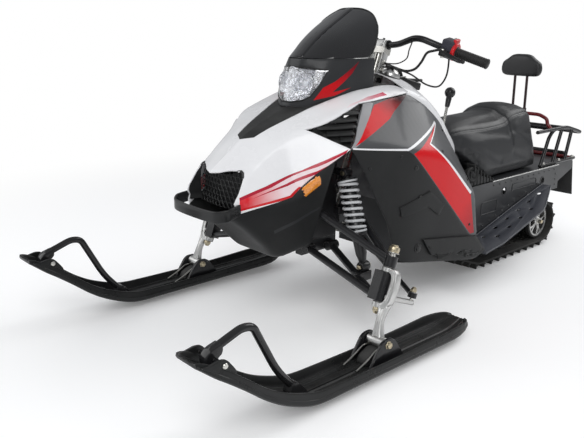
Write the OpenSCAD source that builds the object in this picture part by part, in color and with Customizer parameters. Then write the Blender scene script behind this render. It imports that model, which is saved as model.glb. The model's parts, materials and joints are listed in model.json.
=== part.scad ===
// Light two-seat snowmobile: steel tunnel, plastic body, two steered skis, one track.
// Forward is -Y, the rider's left is +X, the ground is z = 0. Depths are measured
// from the line of the two ski bolts, and set_back() centres the length on the origin.

/* [Overall] */
// Reach of the ski tips ahead of the ski bolts
tip_reach = 668; // [560:1:802]
// Reach of the rear rack behind the ski bolts
tail_reach = 1760; // [1720:1:1900]
// Distance between the centre lines of the two skis
ski_stance = 950; // [900:1:1140]
// Rake of the steering column and of the kingpins
rake = 22; // [18:1:26]

/* [Skis] */
// Width of one ski
ski_w = 140; // [120:1:165]
// Thickness of the ski plate
ski_plate = 11; // [8:1:16]
// Height of the ski's side walls
ski_rim = 34; // [24:1:44]
// Depth of the keel under the plate
keel_h = 14; // [10:1:22]
// Diameter of the wear runner
runner_d = 10; // [8:1:14]
// Height of the ski bolt above the ground
bolt_z = 95; // [88:1:105]
// Radius of the ski bolt
bolt_r = 6; // [5:0.5:8]

/* [Front suspension] */
// Sideways place of the kingpins
kingpin_x = 440; // [420:1:460]
// Height of the kingpin's middle
kingpin_z = 240; // [230:1:252]
// Length of the kingpin block
block_h = 90; // [80:1:100]
// Radius of the suspension tubes
arm_r = 12; // [9:0.5:15]
// Radius of the coil springs
spring_r = 33; // [26:0.5:38]
// Length of the steering arms and of the pitman arm
steer_arm = 110; // [95:1:120]

/* [Steering] */
// Radius of the handlebar tube
bar_r = 11; // [9:0.1:13.2]
// Radius of the hand grips
grip_r = 16; // [13.5:0.5:18]
// Half of the handlebar's width
bar_half = 405; // [370:1:440]

/* [Body] */
// Thickness of the plastic body panels
panel_t = 5; // [3:0.5:8]
// Gap between neighbouring body panels
panel_gap = 0.8; // [0.5:0.1:0.9]

/* [Tunnel and track] */
// Half of the tunnel's width
tunnel_half = 196; // [190:1:204]
// Height of the tunnel's flat top
tunnel_z = 374; // [368:1:390]
// Thickness of the tunnel sheet
sheet_t = 4; // [2:0.5:6]
// Half of the track's width
track_half = 178; // [148:1:181]
// Height of the lugs on the track
lug_h = 20; // [12:1:25]
// Thickness of the track belt
belt_t = 9; // [6:0.5:12]
// Outer radius of the rear idler wheels
idler_r = 83; // [75:1:90]

/* [Seat and rack] */
// Half of the seat's width
seat_half = 158; // [140:1:168]
// Radius of the rack tubes
rack_r = 8; // [6:0.5:11]
// Half of the rack's width
rack_half = 178; // [150:1:190]
// Half of the backrest pad's width
pad_half = 104; // [90:1:150]

/* [Hidden] */
$fn = 32;
fit_gap = 0.3;
pin_gap = 0.08;
mid_y = (tail_reach - tip_reach) / 2;

// ---- places shared by several pieces ----
ski_x = ski_stance / 2;
axis_dir = [0, sin(rake), cos(rake)];
back_dir = [0, cos(rake), -sin(rake)];
kingpin = [kingpin_x, 60, kingpin_z];
clamp = [0, 515, 925];
column_low = clamp - axis_dir * (clamp.z - 290) / cos(rake);
pitman_pin = column_low + back_dir * steer_arm;
function column_at(z) = clamp - axis_dir * (clamp.z - z) / cos(rake);
engine_top = 600;
pin_r = 5;
kingpin_r = 8;
rod_r = 8;
pitman_half = 32;
rod_rise = 14;
post_r = 14;
shock_top = [224, 112, 548];
shock_low = [316, 106, 262];
lower_front = [125, 46, 286];
lower_rear = [125, 152, 276];
upper_front = [160, 36, 430];
upper_rear = [150, 236, 392];
lower_out = kingpin + [-30, -12, -30];
eye_low = block_h / 2 + 17;
eye_h = 34;
upper_out = kingpin + axis_dir * (eye_low + eye_h - 13) + [-14, 0, 0];

// ---- track path: circles [y, z, radius of the belt's outer face], taken counter-clockwise ----
idler_z = idler_r + belt_t + lug_h;
idler_y = 1476;
rail_front_y = 990;
sprocket_y = 645;
sprocket_z = 236;
sprocket_r = 74;
loop = [[rail_front_y, idler_z, idler_r + belt_t], [idler_y, idler_z, idler_r + belt_t],
  [sprocket_y, sprocket_z, sprocket_r + belt_t]];
lug_count = 40;
lug_phase = 0.5;

function ang(a, b) = atan2(b[1] - a[1], b[0] - a[0]);
function gap2(a, b) = norm([b[0] - a[0], b[1] - a[1]]);
function leave(a, b) = ang(a, b) - acos((a[2] - b[2]) / gap2(a, b));
function next(i) = (i + 1) % len(loop);
function prev(i) = (i + len(loop) - 1) % len(loop);
function sweep(i) = (leave(loop[i], loop[next(i)]) - leave(loop[prev(i)], loop[i]) + 720) % 360;
arc_steps = 30;
function loop_points(grow) = [for (i = [0:len(loop) - 1]) for (k = [0:arc_steps])
  let (a = leave(loop[prev(i)], loop[i]) + sweep(i) * k / arc_steps)
  [loop[i][0] + (loop[i][2] + grow) * cos(a), loop[i][1] + (loop[i][2] + grow) * sin(a)]];
function run_lengths(p) =
  [for (i = 0, s = 0; i < len(p); s = s + norm(p[(i + 1) % len(p)] - p[i]), i = i + 1) s];
function total(p) = let (r = run_lengths(p)) r[len(p) - 1] + norm(p[0] - p[len(p) - 1]);

// ---- small helpers ----
module set_back() { translate([0, -mid_y, 0]) children(); }
module both_sides() {
  children();
  mirror([1, 0, 0]) children();
}
module rod(a, b, r) {
  d = b - a;
  translate(a) rotate([0, acos(d.z / norm(d)), atan2(d.y, d.x)]) cylinder(h = norm(d), r = r);
}
module tube_path(points, r, turn = 0) {
  for (i = [0:len(points) - 2]) rod(points[i], points[i + 1], r);
  for (i = [1:len(points) - 2]) translate(points[i]) rotate([0, turn, 0]) sphere(r = r + 1);
}
module side_prism(points, x0, x1) {
  translate([x0, 0, 0]) rotate([90, 0, 90]) linear_extrude(x1 - x0) polygon(points);
}
module box(low, high) { translate(low) cube(high - low); }
module slab(y, points, inset) {
  translate([0, y + 0.5, 0]) rotate([90, 0, 0]) linear_extrude(1) offset(delta = -inset)
    polygon(concat([for (p = points) p], [for (i = [len(points) - 1:-1:0]) [-points[i][0], points[i][1]]]));
}

// ---- body shape: stations [y, [[half width, height], ...]] from the nose back ----
stations = [
  [-262, [[0, 440], [110, 440], [126, 498], [112, 544], [0, 560]]],
  [-200, [[0, 390], [112, 390], [150, 490], [118, 574], [0, 604]]],
  [-130, [[0, 325], [112, 325], [184, 486], [124, 628], [0, 658]]],
  [-70, [[0, 272], [102, 272], [210, 502], [142, 664], [0, 690]]],
  [25, [[0, 300], [155, 300], [268, 607], [206, 704], [70, 722], [0, 728]]],
  [90, [[0, 296], [235, 300], [305, 640], [214, 728], [96, 747], [0, 752]]],
  [270, [[0, 226], [318, 226], [350, 618], [206, 780], [140, 796], [0, 800]]],
  [450, [[0, 190], [330, 190], [355, 570], [204, 776], [130, 792], [0, 796]]],
  [600, [[0, 160], [334, 160], [345, 470], [205, 680], [0, 700]]],
  [770, [[0, 140], [334, 140], [334, 300], [205, 420], [0, 460]]]];
last_station = len(stations) - 1;
hood_last = 7;
side_first = 4;

module hull_run(first, last, inset) {
  for (i = [first:last - 1])
    hull() {
      slab(stations[i][0], stations[i][1], inset);
      slab(stations[i + 1][0], stations[i + 1][1], inset);
    }
}
module body_shell(first, last) {
  difference() {
    hull_run(first, last, 0);
    hull_run(first, last, panel_t);
    translate([0, -0.4, 0]) slab(stations[first][0], stations[first][1], panel_t);
    translate([0, 0.4, 0]) slab(stations[last][0], stations[last][1], panel_t);
  }
}

// ---- panel outlines seen from the side, as [y, z] ----
hood_edge = [[-262, 447], [-91, 497], [-19, 569], [66, 637]];
vent_tip = [-14, 691];
vent_top = [184, 759];
top_edge = [[184, 759], [414, 776], [430, 778]];
belt_edge = [[66, 636], [263, 616], [285, 604], [655, 252], [692, 250]];
dart_half = [[0, -136], [42, -112], [68, -20], [96, 85], [122, 171], [150, 284], [150, 404]];
dart = concat(dart_half, [for (i = [len(dart_half) - 1:-1:1]) [-dart_half[i].x, dart_half[i].y]]);
function lowered(points, d) = [for (p = points) [p[0], p[1] - d]];
function reversed(p) = [for (i = [len(p) - 1:-1:0]) p[i]];
hood_outline = concat([[-275, 447]], hood_edge, [vent_tip], top_edge, [[430, 900], [-275, 900]]);
side_outline = concat(lowered([vent_top + [10, 0], top_edge[1], top_edge[2]], panel_gap),
  [[579, 679], [590, 600], [657, 410], [690, 256]], reversed(belt_edge), [[72, 642]]);
cover_outline = concat(lowered(belt_edge, panel_gap), [[763, 174], [694, 152], [500, 190], [274, 234],
  [210, 390], [121, 551]]);
belly_outline = concat(lowered([[-275, 447], [-262, 447], [-91, 497], [-19, 569], [26, 605]], panel_gap),
  [[26, 250], [-275, 250]]);
reflector_outline = [[-52, 524], [-44, 500], [-14, 530], [-22, 554]];

module hood() color("white") set_back()
  difference() {
    intersection() {
      body_shell(0, hood_last);
      side_prism(hood_outline, -400, 400);
    }
    translate([0, 0, 500]) linear_extrude(500) offset(delta = panel_gap) polygon(dart);
    box([-600, 420, 300], [600, 700, 1000]);
  }

module headlight_cowl() color("dimgray") set_back()
  difference() {
    union() {
      intersection() {
        body_shell(0, hood_last);
        translate([0, 0, 500]) linear_extrude(500) polygon(dart);
        box([-600, -200, 600], [600, 405, 1000]);
      }
      hull() {
        translate([0, 0, 745]) linear_extrude(1)
          polygon([[-72, 84], [-20, 52], [20, 52], [72, 84], [116, 168], [142, 280], [138, 330], [-138, 330],
            [-142, 280], [-116, 168]]);
        translate([0, 0, 890]) linear_extrude(1)
          polygon([[-92, 152], [-30, 98], [30, 98], [92, 152], [138, 250], [134, 310], [-134, 310],
            [-138, 250]]);
      }
    }
    lamp_room();
    hull() {
      box([-120, 180, 700], [120, 340, 760]);
      box([-110, 230, 870], [110, 340, 900]);
    }
    box([-600, 200, 600], [600, 500, 742]);
  }

module lamp_solid() {
  hull() {
    box([-22, 57, 758], [22, 58, 759]);
    box([-72, 84, 772], [72, 85, 773]);
    box([-100, 98, 820], [100, 99, 821]);
    box([-130, 157, 863], [130, 158, 864]);
    box([-26, 76, 861], [26, 77, 862]);
    box([-60, 150, 790], [60, 151, 840]);
  }
}
module lamp_room() { translate([0, 120, 820]) scale(1.014) translate([0, -120, -820]) lamp_solid(); }
module headlight() color("lightcyan") set_back() lamp_solid();

module screen_solid(inset) {
  base = [[-150, 290], [-118, 196], [-74, 138], [-28, 112], [28, 112], [74, 138], [118, 196], [150, 290]];
  mid = [[-152, 360], [-122, 270], [-80, 218], [-30, 192], [30, 192], [80, 218], [122, 270], [152, 360]];
  top = [[-66, 372], [-36, 356], [0, 350], [36, 356], [66, 372]];
  hull() {
    translate([0, inset, 891 + fit_gap]) linear_extrude(1) offset(delta = -inset) polygon(base);
    translate([0, inset, 958]) linear_extrude(1) offset(delta = -inset) polygon(mid);
    translate([0, inset, 1020]) linear_extrude(1) offset(delta = -inset)
      polygon([[-118, 368], [-70, 316], [0, 298], [70, 316], [118, 368]]);
    translate([0, inset, 1050 - inset]) linear_extrude(1) offset(delta = -min(inset, 3)) polygon(top);
  }
}
module windshield() color("black", 0.8) set_back()
  difference() {
    screen_solid(0);
    screen_solid(panel_t);
    translate([0, panel_t + 1, -2]) screen_solid(panel_t);
    translate([0, 0, -4]) screen_solid(panel_t);
  }

module belly_pan() color("black") set_back()
  intersection() {
    body_shell(0, side_first + 1);
    side_prism(belly_outline, -400, 400);
  }

module side_panel() {
  difference() {
    intersection() {
      body_shell(side_first, last_station);
      side_prism(side_outline, 190, 400);
    }
    hood_clear();
  }
}
module hood_clear() {
  side_prism(concat([[60, 628], vent_tip], lowered(top_edge, panel_gap), [[440, 777], [440, 900], [0, 900],
    [0, 628]]), -400, 400);
}
module side_panel_left() color("dimgray") set_back() side_panel();
module side_panel_right() color("dimgray") set_back() mirror([1, 0, 0]) side_panel();

module lower_cover() {
  intersection() {
    body_shell(side_first, last_station);
    side_prism(cover_outline, tunnel_half + 10, 400);
  }
}
module lower_cover_left() color("black") set_back() lower_cover();
module lower_cover_right() color("black") set_back() mirror([1, 0, 0]) lower_cover();

module hood_vents() color("black") set_back() both_sides()
  union() {
    side_prism([[66, 642], [4, 687], [164, 743]], 150, 154);
    side_prism([[44, 656], [80, 656], [80, 660], [44, 660]], 153, 208);
    side_prism([[16, 676], [98, 676], [98, 680], [16, 680]], 153, 208);
    side_prism([[8, 695], [116, 695], [116, 699], [8, 699]], 153, 204);
    side_prism([[66, 714], [134, 714], [134, 718], [66, 718]], 153, 196);
  }

module side_reflectors() color("orange") set_back() both_sides()
  difference() {
    intersection() {
      hull_run(3, 4, -4);
      side_prism(reflector_outline, 100, 400);
    }
    hull_run(3, 4, -fit_gap);
  }

module nose_grille() color("black") set_back()
  difference() {
    intersection() {
      box([-200, -246, 400], [200, -240, 600]);
      hull_run(0, 1, panel_t + fit_gap);
    }
    for (i = [-2:2]) for (k = [0:2]) translate([i * 32 + (k % 2) * 8, -230, 472 + k * 26])
      rotate([90, 0, 0]) cylinder(h = 30, r = 10);
  }

module front_bumper() color("black") set_back()
  difference() {
    hull() {
      box([-118, -318, 424], [118, -312, 466]);
      box([-140, -290, 432], [140, -284, 474]);
      box([-137, -246, 440], [137, -240, 482]);
    }
    hull() {
      box([-112, -312, 400], [112, -308, 500]);
      box([-132, -286, 400], [132, -282, 500]);
      box([-130.9, -246, 400], [130.9, -230, 500]);
    }
  }

module console() color("white") set_back()
  difference() {
    hull() {
      box([-185, 440, 640], [185, 446, 768]);
      box([-110, 440, 760], [110, 446, 826]);
      box([-104, 520, 760], [104, 526, 806]);
      box([-180, 560, 640], [180, 566, 690]);
      box([-90, 800, 620], [90, 806, 640]);
    }
    rod(column_low, clamp, post_r + 12);
  }

module engine() color("gray") set_back()
  box([-150, 432, tunnel_z + sheet_t + fit_gap], [150, 730, engine_top]);

module recoil_starter() color("black") set_back()
  union() {
    translate([150 + fit_gap, 690, 470]) rotate([0, 90, 0]) cylinder(h = 44, r = 74);
    translate([190, 690, 470]) rotate([0, 90, 0]) cylinder(h = 18, r = 52);
  }

module reverse_lever() color("black") set_back() {
  rod([138, 716, 603.6], [109, 794, 744], 6);
  translate([109, 794, 744]) sphere(r = 20);
}

module front_bulkhead() color("dimgray") set_back()
  difference() {
    union() {
      box([-110, 0, 305 + fit_gap], [110, 186, 315]);
      both_sides() box([96, 0, 306], [110, 186, 560]);
      box([-110, 0, 306], [110, 6, 560]);
      box([-110, 180, 306], [110, 186, 400]);
      both_sides() box([80, 28, 262], [lower_front.x - arm_r - 3 - fit_gap, 186, 308]);
      rod([14 + fit_gap - shock_top.x, shock_top.y, shock_top.z],
        [shock_top.x - 14 - fit_gap, shock_top.y, shock_top.z], arm_r);
      both_sides() box([96, 176, 380], [upper_rear.x - arm_r - 4 - fit_gap, 256, 404]);
      both_sides() box([104, 20, 412], [upper_front.x - arm_r - 4 - fit_gap, 52, 448]);
      both_sides() tube_path([[90, 180, 550], [90, 300, 700], [70, 446, engine_top + arm_r]], arm_r);
      box([-90, 440, engine_top + fit_gap], [90, 452, 639]);
      both_sides() rod([104, 176, 470], column_at(470) + [20, 0, 0], arm_r);
      rod(column_at(450), column_at(490), post_r + 10);
    }
    rod(column_low, clamp, post_r + pin_gap);
    box([-70, 190, 200], [70, 480, 440]);
  }

module upper_arms() color("black") set_back() both_sides()
  difference() {
    union() {
      rod(upper_front, upper_out, arm_r);
      rod(upper_rear, upper_out, arm_r);
      rod(upper_front - [0, 20, 0], upper_front + [0, 20, 0], arm_r + 4);
      rod(upper_rear - [0, 20, 0], upper_rear + [0, 20, 0], arm_r + 4);
      rod(kingpin + axis_dir * eye_low, kingpin + axis_dir * (eye_low + eye_h), 19);
    }
    rod(kingpin, kingpin + axis_dir * 200, kingpin_r + pin_gap);
    translate(kingpin) rotate([-rake, 0, 0]) cylinder(h = eye_low, r = 60);
  }

module lower_arms() color("black") set_back() both_sides()
  difference() {
    union() {
      rod(lower_front, lower_out, arm_r);
      rod(lower_rear, lower_out, arm_r);
      rod(lower_front - [0, 18, 0], lower_front + [0, 18, 0], arm_r + 3);
      rod(lower_rear - [0, 22, 0], lower_rear + [0, 22, 0], arm_r + 3);
      box([shock_low.x - 18, 74, 220], [shock_low.x + 18, 124, shock_low.z - 14 - fit_gap]);
    }
    block_envelope(fit_gap);
  }

module block_envelope(grow) {
  translate(kingpin) rotate([-rake, 0, 0]) {
    box([-34 - grow, -19 - grow, -block_h / 2 - grow - 30], [20, 19 + grow, block_h / 2 + grow]);
    cylinder(h = block_h + 60, r = 22, center = true);
  }
}
module kingpin_blocks() color("black") set_back() both_sides()
  translate(kingpin) rotate([-rake, 0, 0])
    difference() {
      union() {
        cylinder(h = block_h, r = 19, center = true);
        box([-34, -19, -block_h / 2], [0, 19, block_h / 2]);
      }
      cylinder(h = block_h + 10, r = kingpin_r + pin_gap, center = true);
    }

shock_dir = (shock_low - shock_top) / norm(shock_low - shock_top);
module shock_absorbers() color("black") set_back() both_sides()
  union() {
    translate(shock_top) sphere(r = 14);
    rod(shock_top, shock_low - shock_dir * 22, 9);
    rod(shock_low - shock_dir * 100, shock_low - shock_dir * 10, 16);
    rod(shock_low - [0, 15, 0], shock_low + [0, 15, 0], 14);
    rod(shock_top + shock_dir * 16, shock_top + shock_dir * 24, spring_r - 2);
    rod(shock_low - shock_dir * 112, shock_low - shock_dir * 100, spring_r - 2);
  }
module shock_springs() color("silver") set_back() both_sides()
  difference() {
    rod(shock_top + shock_dir * (24 + fit_gap), shock_low - shock_dir * (112 + fit_gap), spring_r);
    rod(shock_top, shock_low, spring_r - 8);
  }

// ---- steering: the post, both knuckles and the tie rods form a parallel linkage ----
module steering_post() color("dimgray") set_back()
  union() {
    rod(column_low, clamp - axis_dir * 30, post_r);
    hull() {
      rod(column_low - axis_dir * 5, column_low + axis_dir * 5, 20);
      for (s = [-1, 1])
        translate([s * pitman_half, 0, 0]) rod(pitman_pin - axis_dir * 5, pitman_pin + axis_dir * 5, 13);
    }
    for (s = [-1, 1])
      translate([s * pitman_half, 0, 0]) rod(pitman_pin, pitman_pin + axis_dir * 34, pin_r);
    translate(clamp) rotate([-rake, 0, 0]) box([-36, -18, -34], [36, 18, -bar_r - fit_gap]);
  }

bar_points = [[0, 515, 925], [70, 515, 925], [172, 502, 956], [245, 536, 925], [bar_half, 572, 874]];
module handlebar() color("black") set_back()
  tube_path([for (i = [-4:4]) if (i != 0) let (p = bar_points[abs(i)]) [sign(i) * p.x, p.y, p.z]], bar_r, 90);
grip_dir = (bar_points[4] - bar_points[3]) / norm(bar_points[4] - bar_points[3]);
module hand_grips() color("black") set_back() both_sides()
  difference() {
    rod(bar_points[4] - grip_dir * 118, bar_points[4] + grip_dir * 6, grip_r);
    rod(bar_points[3], bar_points[4] + grip_dir * fit_gap, bar_r + fit_gap);
  }
module bar_controls() color("black") set_back() both_sides() {
  c = bar_points[4] - grip_dir * 141;
  difference() {
    union() {
      rod(c - grip_dir * 20, c + grip_dir * 20, 24);
      rod(c + [0, -20, -8], c + [0, -46, -22], 7);
      rod(c + [0, -46, -22], c + grip_dir * 112 + [0, -52, -20], 6);
      translate(c + [0, -46, -22]) sphere(r = 7.4);
    }
    rod(bar_points[3], bar_points[4], bar_r + fit_gap);
    translate(bar_points[3]) sphere(r = bar_r + 1 + fit_gap);
  }
}

cable_points = [[272, 542, 890.7], [262, 552, 800], [200, 590, 770], [130, 560, 810], [70, 500, 852],
  [17, 485, 852]];
function bez(p, t) = len(p) == 1 ? p[0] :
  bez([for (i = [0:len(p) - 2]) p[i] * (1 - t) + p[i + 1] * t], t);
module control_cables() color("black") set_back() {
  route = [for (i = [0:12]) bez(cable_points, i / 12)];
  for (i = [0:11]) rod(route[i], route[i + 1], 3);
  for (i = [1:11]) translate(route[i]) rotate([0, 90, 20]) sphere(r = 3.3);
}

module knuckle() {
  foot = [ski_x, 0, bolt_z];
  gap = 1;
  difference() {
    union() {
      translate(kingpin) rotate([-rake, 0, 0]) {
        hull() {
          translate([0, 0, block_h / 2 + gap]) cylinder(h = 14, r = 20);
          translate([26, -14, block_h / 2 + gap]) cube([22, 28, 14]);
        }
        hull() {
          translate([0, 0, -block_h / 2 - gap - 16]) cylinder(h = 16, r = 20);
          translate([26, -14, -block_h / 2 - gap - 16]) cube([22, 28, 16]);
        }
        box([27, -14, -block_h / 2 - gap - 16], [48, 14, block_h / 2 + gap + 14]);
        translate([0, 0, -block_h / 2 - 26]) cylinder(h = block_h + 26 + eye_h + 24, r = kingpin_r);
        translate([0, 0, eye_low + eye_h + 1]) cylinder(h = 10, r = 14, $fn = 6);
        translate([0, 0, -block_h / 2 - gap - 34]) cylinder(h = 18, r = 13, $fn = 6);
        hull() {
          box([24, -12, -34], [44, 14, -18]);
          translate([pitman_half, steer_arm, -34]) cylinder(h = 16, r = 14);
        }
        translate([pitman_half, steer_arm, -30]) cylinder(h = 12 + rod_rise + 26, r = pin_r);
      }
      hull() {
        translate(kingpin) rotate([-rake, 0, 0])
          box([6, -13, -block_h / 2 - gap - 15], [45, 13, -block_h / 2 - gap - 5]);
        translate(foot + [-20, -14, 6]) cube([40, 30, 16]);
      }
      rod(foot - [30, 0, 0], foot + [30, 0, 0], 17);
    }
    rod(foot - [60, 0, 0], foot + [60, 0, 0], bolt_r + pin_gap);
  }
}
module knuckle_left() color("silver") set_back() knuckle();
module knuckle_right() color("silver") set_back() mirror([1, 0, 0]) knuckle();

rod_low = kingpin + [pitman_half, 0, 0] + back_dir * steer_arm + axis_dir * (-18 + rod_rise);
rod_high = pitman_pin + [pitman_half, 0, 0] + axis_dir * 21;
module tie_rod() {
  difference() {
    union() {
      rod(rod_low, rod_high, rod_r);
      rod(rod_low - axis_dir * 8, rod_low + axis_dir * 8, 14);
      rod(rod_high - axis_dir * 7, rod_high + axis_dir * 7, 13);
    }
    rod(rod_low - axis_dir * 30, rod_low + axis_dir * 30, pin_r + pin_gap);
    rod(rod_high - axis_dir * 30, rod_high + axis_dir * 30, pin_r + pin_gap + 0.5);
  }
}
module tie_rod_left() color("dimgray") set_back() tie_rod();
module tie_rod_right() color("dimgray") set_back() mirror([1, 0, 0]) tie_rod();

// ---- skis ----
plate_z = runner_d + keel_h;
rise_y = -300;
function sole(y, lift) = y < rise_y ? plate_z + lift + 228 * pow((rise_y - y) / (tip_reach + rise_y), 1.7) :
  y > 300 ? plate_z + lift + 22 * pow((y - 300) / 106, 2) : plate_z + lift;
ski_ys = [for (i = [0:12]) -tip_reach + i * (tip_reach + rise_y) / 12];
tail_ys = [for (i = [0:6]) 300 + i * 106 / 6];
module ski() {
  bottom = concat([for (y = ski_ys) [y, sole(y, 0)]], [for (y = tail_ys) [y, sole(y, 0)]]);
  rim = [[406, sole(406, ski_rim * 0.6)], [300, plate_z + ski_rim + 6], [0, plate_z + ski_rim],
    [-300, plate_z + ski_rim + 8], [-420, sole(-420, ski_rim)], [-560, sole(-560, ski_rim * 0.8)],
    [-tip_reach, sole(-tip_reach, 14)]];
  floor_line = concat([for (y = ski_ys) if (y > -600) [y, sole(y, ski_plate)]],
    [for (y = tail_ys) if (y < 396) [y, sole(y, ski_plate)]]);
  translate([ski_x, 0, 0]) {
    difference() {
      intersection() {
        side_prism(concat(bottom, rim), -ski_w / 2, ski_w / 2);
        linear_extrude(500) polygon([[-46, -tip_reach], [46, -tip_reach], [62, -600], [70, -430], [70, 330],
          [58, 390], [34, 406], [-34, 406], [-58, 390], [-70, 330], [-70, -430], [-62, -600]] );
      }
      side_prism(concat(floor_line, [[390, 500], [-600, 500]]), -ski_w / 2 + 9, ski_w / 2 - 9);
    }
    side_prism([[-330, plate_z + 8], [-250, runner_d - 3], [250, runner_d - 3], [310, plate_z + 2],
      [310, plate_z + 8]], -11, 11);
    rod([0, -250, runner_d / 2], [0, 250, runner_d / 2], runner_d / 2);
    for (s = [-1, 1]) translate([s * 39, 0, 0])
      side_prism([[-70, plate_z + 6], [-22, bolt_z + 16], [22, bolt_z + 16], [70, plate_z + 6]], -5, 5);
    rod([-50, 0, bolt_z], [50, 0, bolt_z], bolt_r);
    tube_path([[0, -606, 214], [0, -604, 244], [0, -500, 288], [0, -476, 276], [0, -372, 108],
      [0, -366, 40]], 11);
  }
}
module ski_left() color("black") set_back() ski();
module ski_right() color("black") set_back() mirror([1, 0, 0]) ski();

// ---- tunnel, seat and rear ----
module tunnel() color("dimgray") set_back()
  difference() {
    union() {
      box([-tunnel_half, 520, tunnel_z], [tunnel_half, 1535, tunnel_z + sheet_t]);
      both_sides()
        side_prism([[520, tunnel_z + 1], [520, 150], [900, 172], [1130, 240], [1360, 300], [1440, 268],
          [1535, 268], [1535, tunnel_z + 1]], tunnel_half - sheet_t, tunnel_half);
      both_sides()
        side_prism([[1500, tunnel_z + 1], [1500, 268], [1535, 264], [1720, 330],
          [1720, tunnel_z + 1]], 160, 164);
      box([-164, 1500, tunnel_z], [164, 1720, tunnel_z + sheet_t]);
      box([-tunnel_half, 516, 150], [tunnel_half, 520, tunnel_z + sheet_t]);
    }
    for (y = [1090, 1395])
      translate([-300, y, 325]) rotate([0, 90, 0]) cylinder(h = 600, r = 14);
    translate([-300, sprocket_y, sprocket_z]) rotate([0, 90, 0]) cylinder(h = 600, r = 13);
  }

module running_boards() color("dimgray") set_back() both_sides()
  difference() {
    side_prism([[780, 150], [900, 166], [1130, 232], [1395, 305], [1395, 309], [1130, 236], [900, 170],
      [780, 154]], tunnel_half + fit_gap, 330);
    translate([0, 0, 100]) linear_extrude(400) polygon([[360, 1190], [318, 1230], [240, 1400], [360, 1420]]);
    for (i = [0:5]) for (k = [0, 1]) translate([232 + k * 40, 900 + i * 80 + k * 20, 100])
      cylinder(h = 300, r = 9);
  }

module mud_flap() color("black") set_back()
  side_prism([[1720 + fit_gap, 364], [1750, 196], [1755, 196], [1726, 364]], -164, 164);

module tail_light() color("red") set_back() box([-120, 1720 + fit_gap, 368], [120, 1744, 404]);

rack_low = tunnel_z + sheet_t + rack_r + fit_gap;
module rear_rack() color("black") set_back()
  union() {
    both_sides() {
      tube_path([[rack_half, 1398, rack_low], [rack_half, 1452, 512], [rack_half, 1492, 540],
        [rack_half, 1600, 540], [rack_half, 1700, 514], [rack_half, 1746, 500], [0, 1752, 500]], rack_r);
      rod([rack_half, 1502, rack_low], [rack_half, 1560, 540], rack_r);
      rod([rack_half, 1611, rack_low], [rack_half, 1652, 527], rack_r);
      rod([rack_half, 1392, rack_low], [rack_half, 1698, rack_low], rack_r);
      rod([rack_half, 1350, 540], [rack_half, 1500, 540], rack_r);
    }
    for (y = [1496, 1560]) rod([-rack_half, y, 540], [rack_half, y, 540], rack_r);
    rod([-rack_half, 1652, 527], [rack_half, 1652, 527], rack_r);
    rod([-rack_half, 1690, rack_low], [rack_half, 1690, rack_low], rack_r);
  }

hoop = [[rack_half - rack_r - fit_gap - 1.2, 542], [150, 560], [146, 584], [108, 600]];
module backrest_frame() color("darkred") set_back()
  union() {
    for (s = [-1, 1]) rod([s * 30, 1476, 600], [s * 30, 1476, 800], 6);
    tube_path([for (p = [[-1, 0], [-1, 1], [-1, 2], [-1, 3], [1, 3], [1, 2], [1, 1], [1, 0]])
      [p[0] * hoop[p[1]][0], 1476, hoop[p[1]][1]]], 8, 90);
  }
module backrest_pad() color("black") set_back()
  difference() {
    box([-pad_half, 1450, 760], [pad_half, 1500, 868]);
    for (s = [-1, 1]) rod([s * 30, 1476, 700], [s * 30, 1476, 800 + fit_gap], 6 + fit_gap);
  }

seat_low = tunnel_z + sheet_t + fit_gap;
module seat() color("black") set_back()
  difference() {
    side_prism([[800, 566], [840, 606], [930, 622], [1050, 622], [1170, 628], [1230, 650], [1370, 656],
      [1410, 636], [1424, 520], [1400, seat_low], [1040, seat_low], [900, 470]], -seat_half, seat_half);
    both_sides()
      side_prism([[780, 490], [780, 700], [1460, 700], [1460, 590]], seat_half - 34, seat_half + 20);
  }

// ---- track and its carriage ----
module track() color("black") set_back() {
  outer = loop_points(0);
  inner = loop_points(-belt_t);
  runs = run_lengths(outer);
  pitch = total(outer) / lug_count;
  translate([-track_half, 0, 0]) rotate([90, 0, 90]) linear_extrude(2 * track_half)
    difference() {
      union() {
        polygon(outer);
        for (n = [0:lug_count - 1]) {
          s = (n + lug_phase) * pitch;
          i = max([for (k = [0:len(runs) - 1]) if (runs[k] <= s) k]);
          a = outer[i];
          b = outer[(i + 1) % len(outer)];
          translate(a + (b - a) * (s - runs[i]) / norm(b - a)) rotate(atan2(b[1] - a[1], b[0] - a[0]) - 90)
            polygon([[-4, -11], [lug_h, -6], [lug_h, 6], [-4, 11]]);
        }
      }
      polygon(inner);
    }
}

module skid_frame() color("dimgray") set_back()
  union() {
    both_sides()
      side_prism([[925, 80], [950, 48], [990, lug_h + belt_t + fit_gap],
        [1440, lug_h + belt_t + fit_gap], [1440, 60], [1000, 62], [950, 104]], 70, 86);
    for (y = [1000, 1300]) rod([-160, y, 110], [160, y, 110], 9);
    both_sides() {
      rod([150, 1000, 110], [150, 900, 244], 9);
      rod([150, 1300, 110], [150, 1050, 234], 9);
      for (y = [1000, 1300]) box([72, y - 16, 56], [84, y + 16, 116]);
      box([72, 1400, 40], [84, 1462, 126]);
      rod([140, 900, 244], [tunnel_half - sheet_t - fit_gap, 900, 244], 9);
      rod([140, 1050, 234], [tunnel_half - sheet_t - fit_gap, 1050, 234], 9);
    }
    rod([0, 1300, 114], [0, 932, 204], 16);
    rod([-150, 932, 204], [150, 932, 204], 9);
  }

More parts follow.
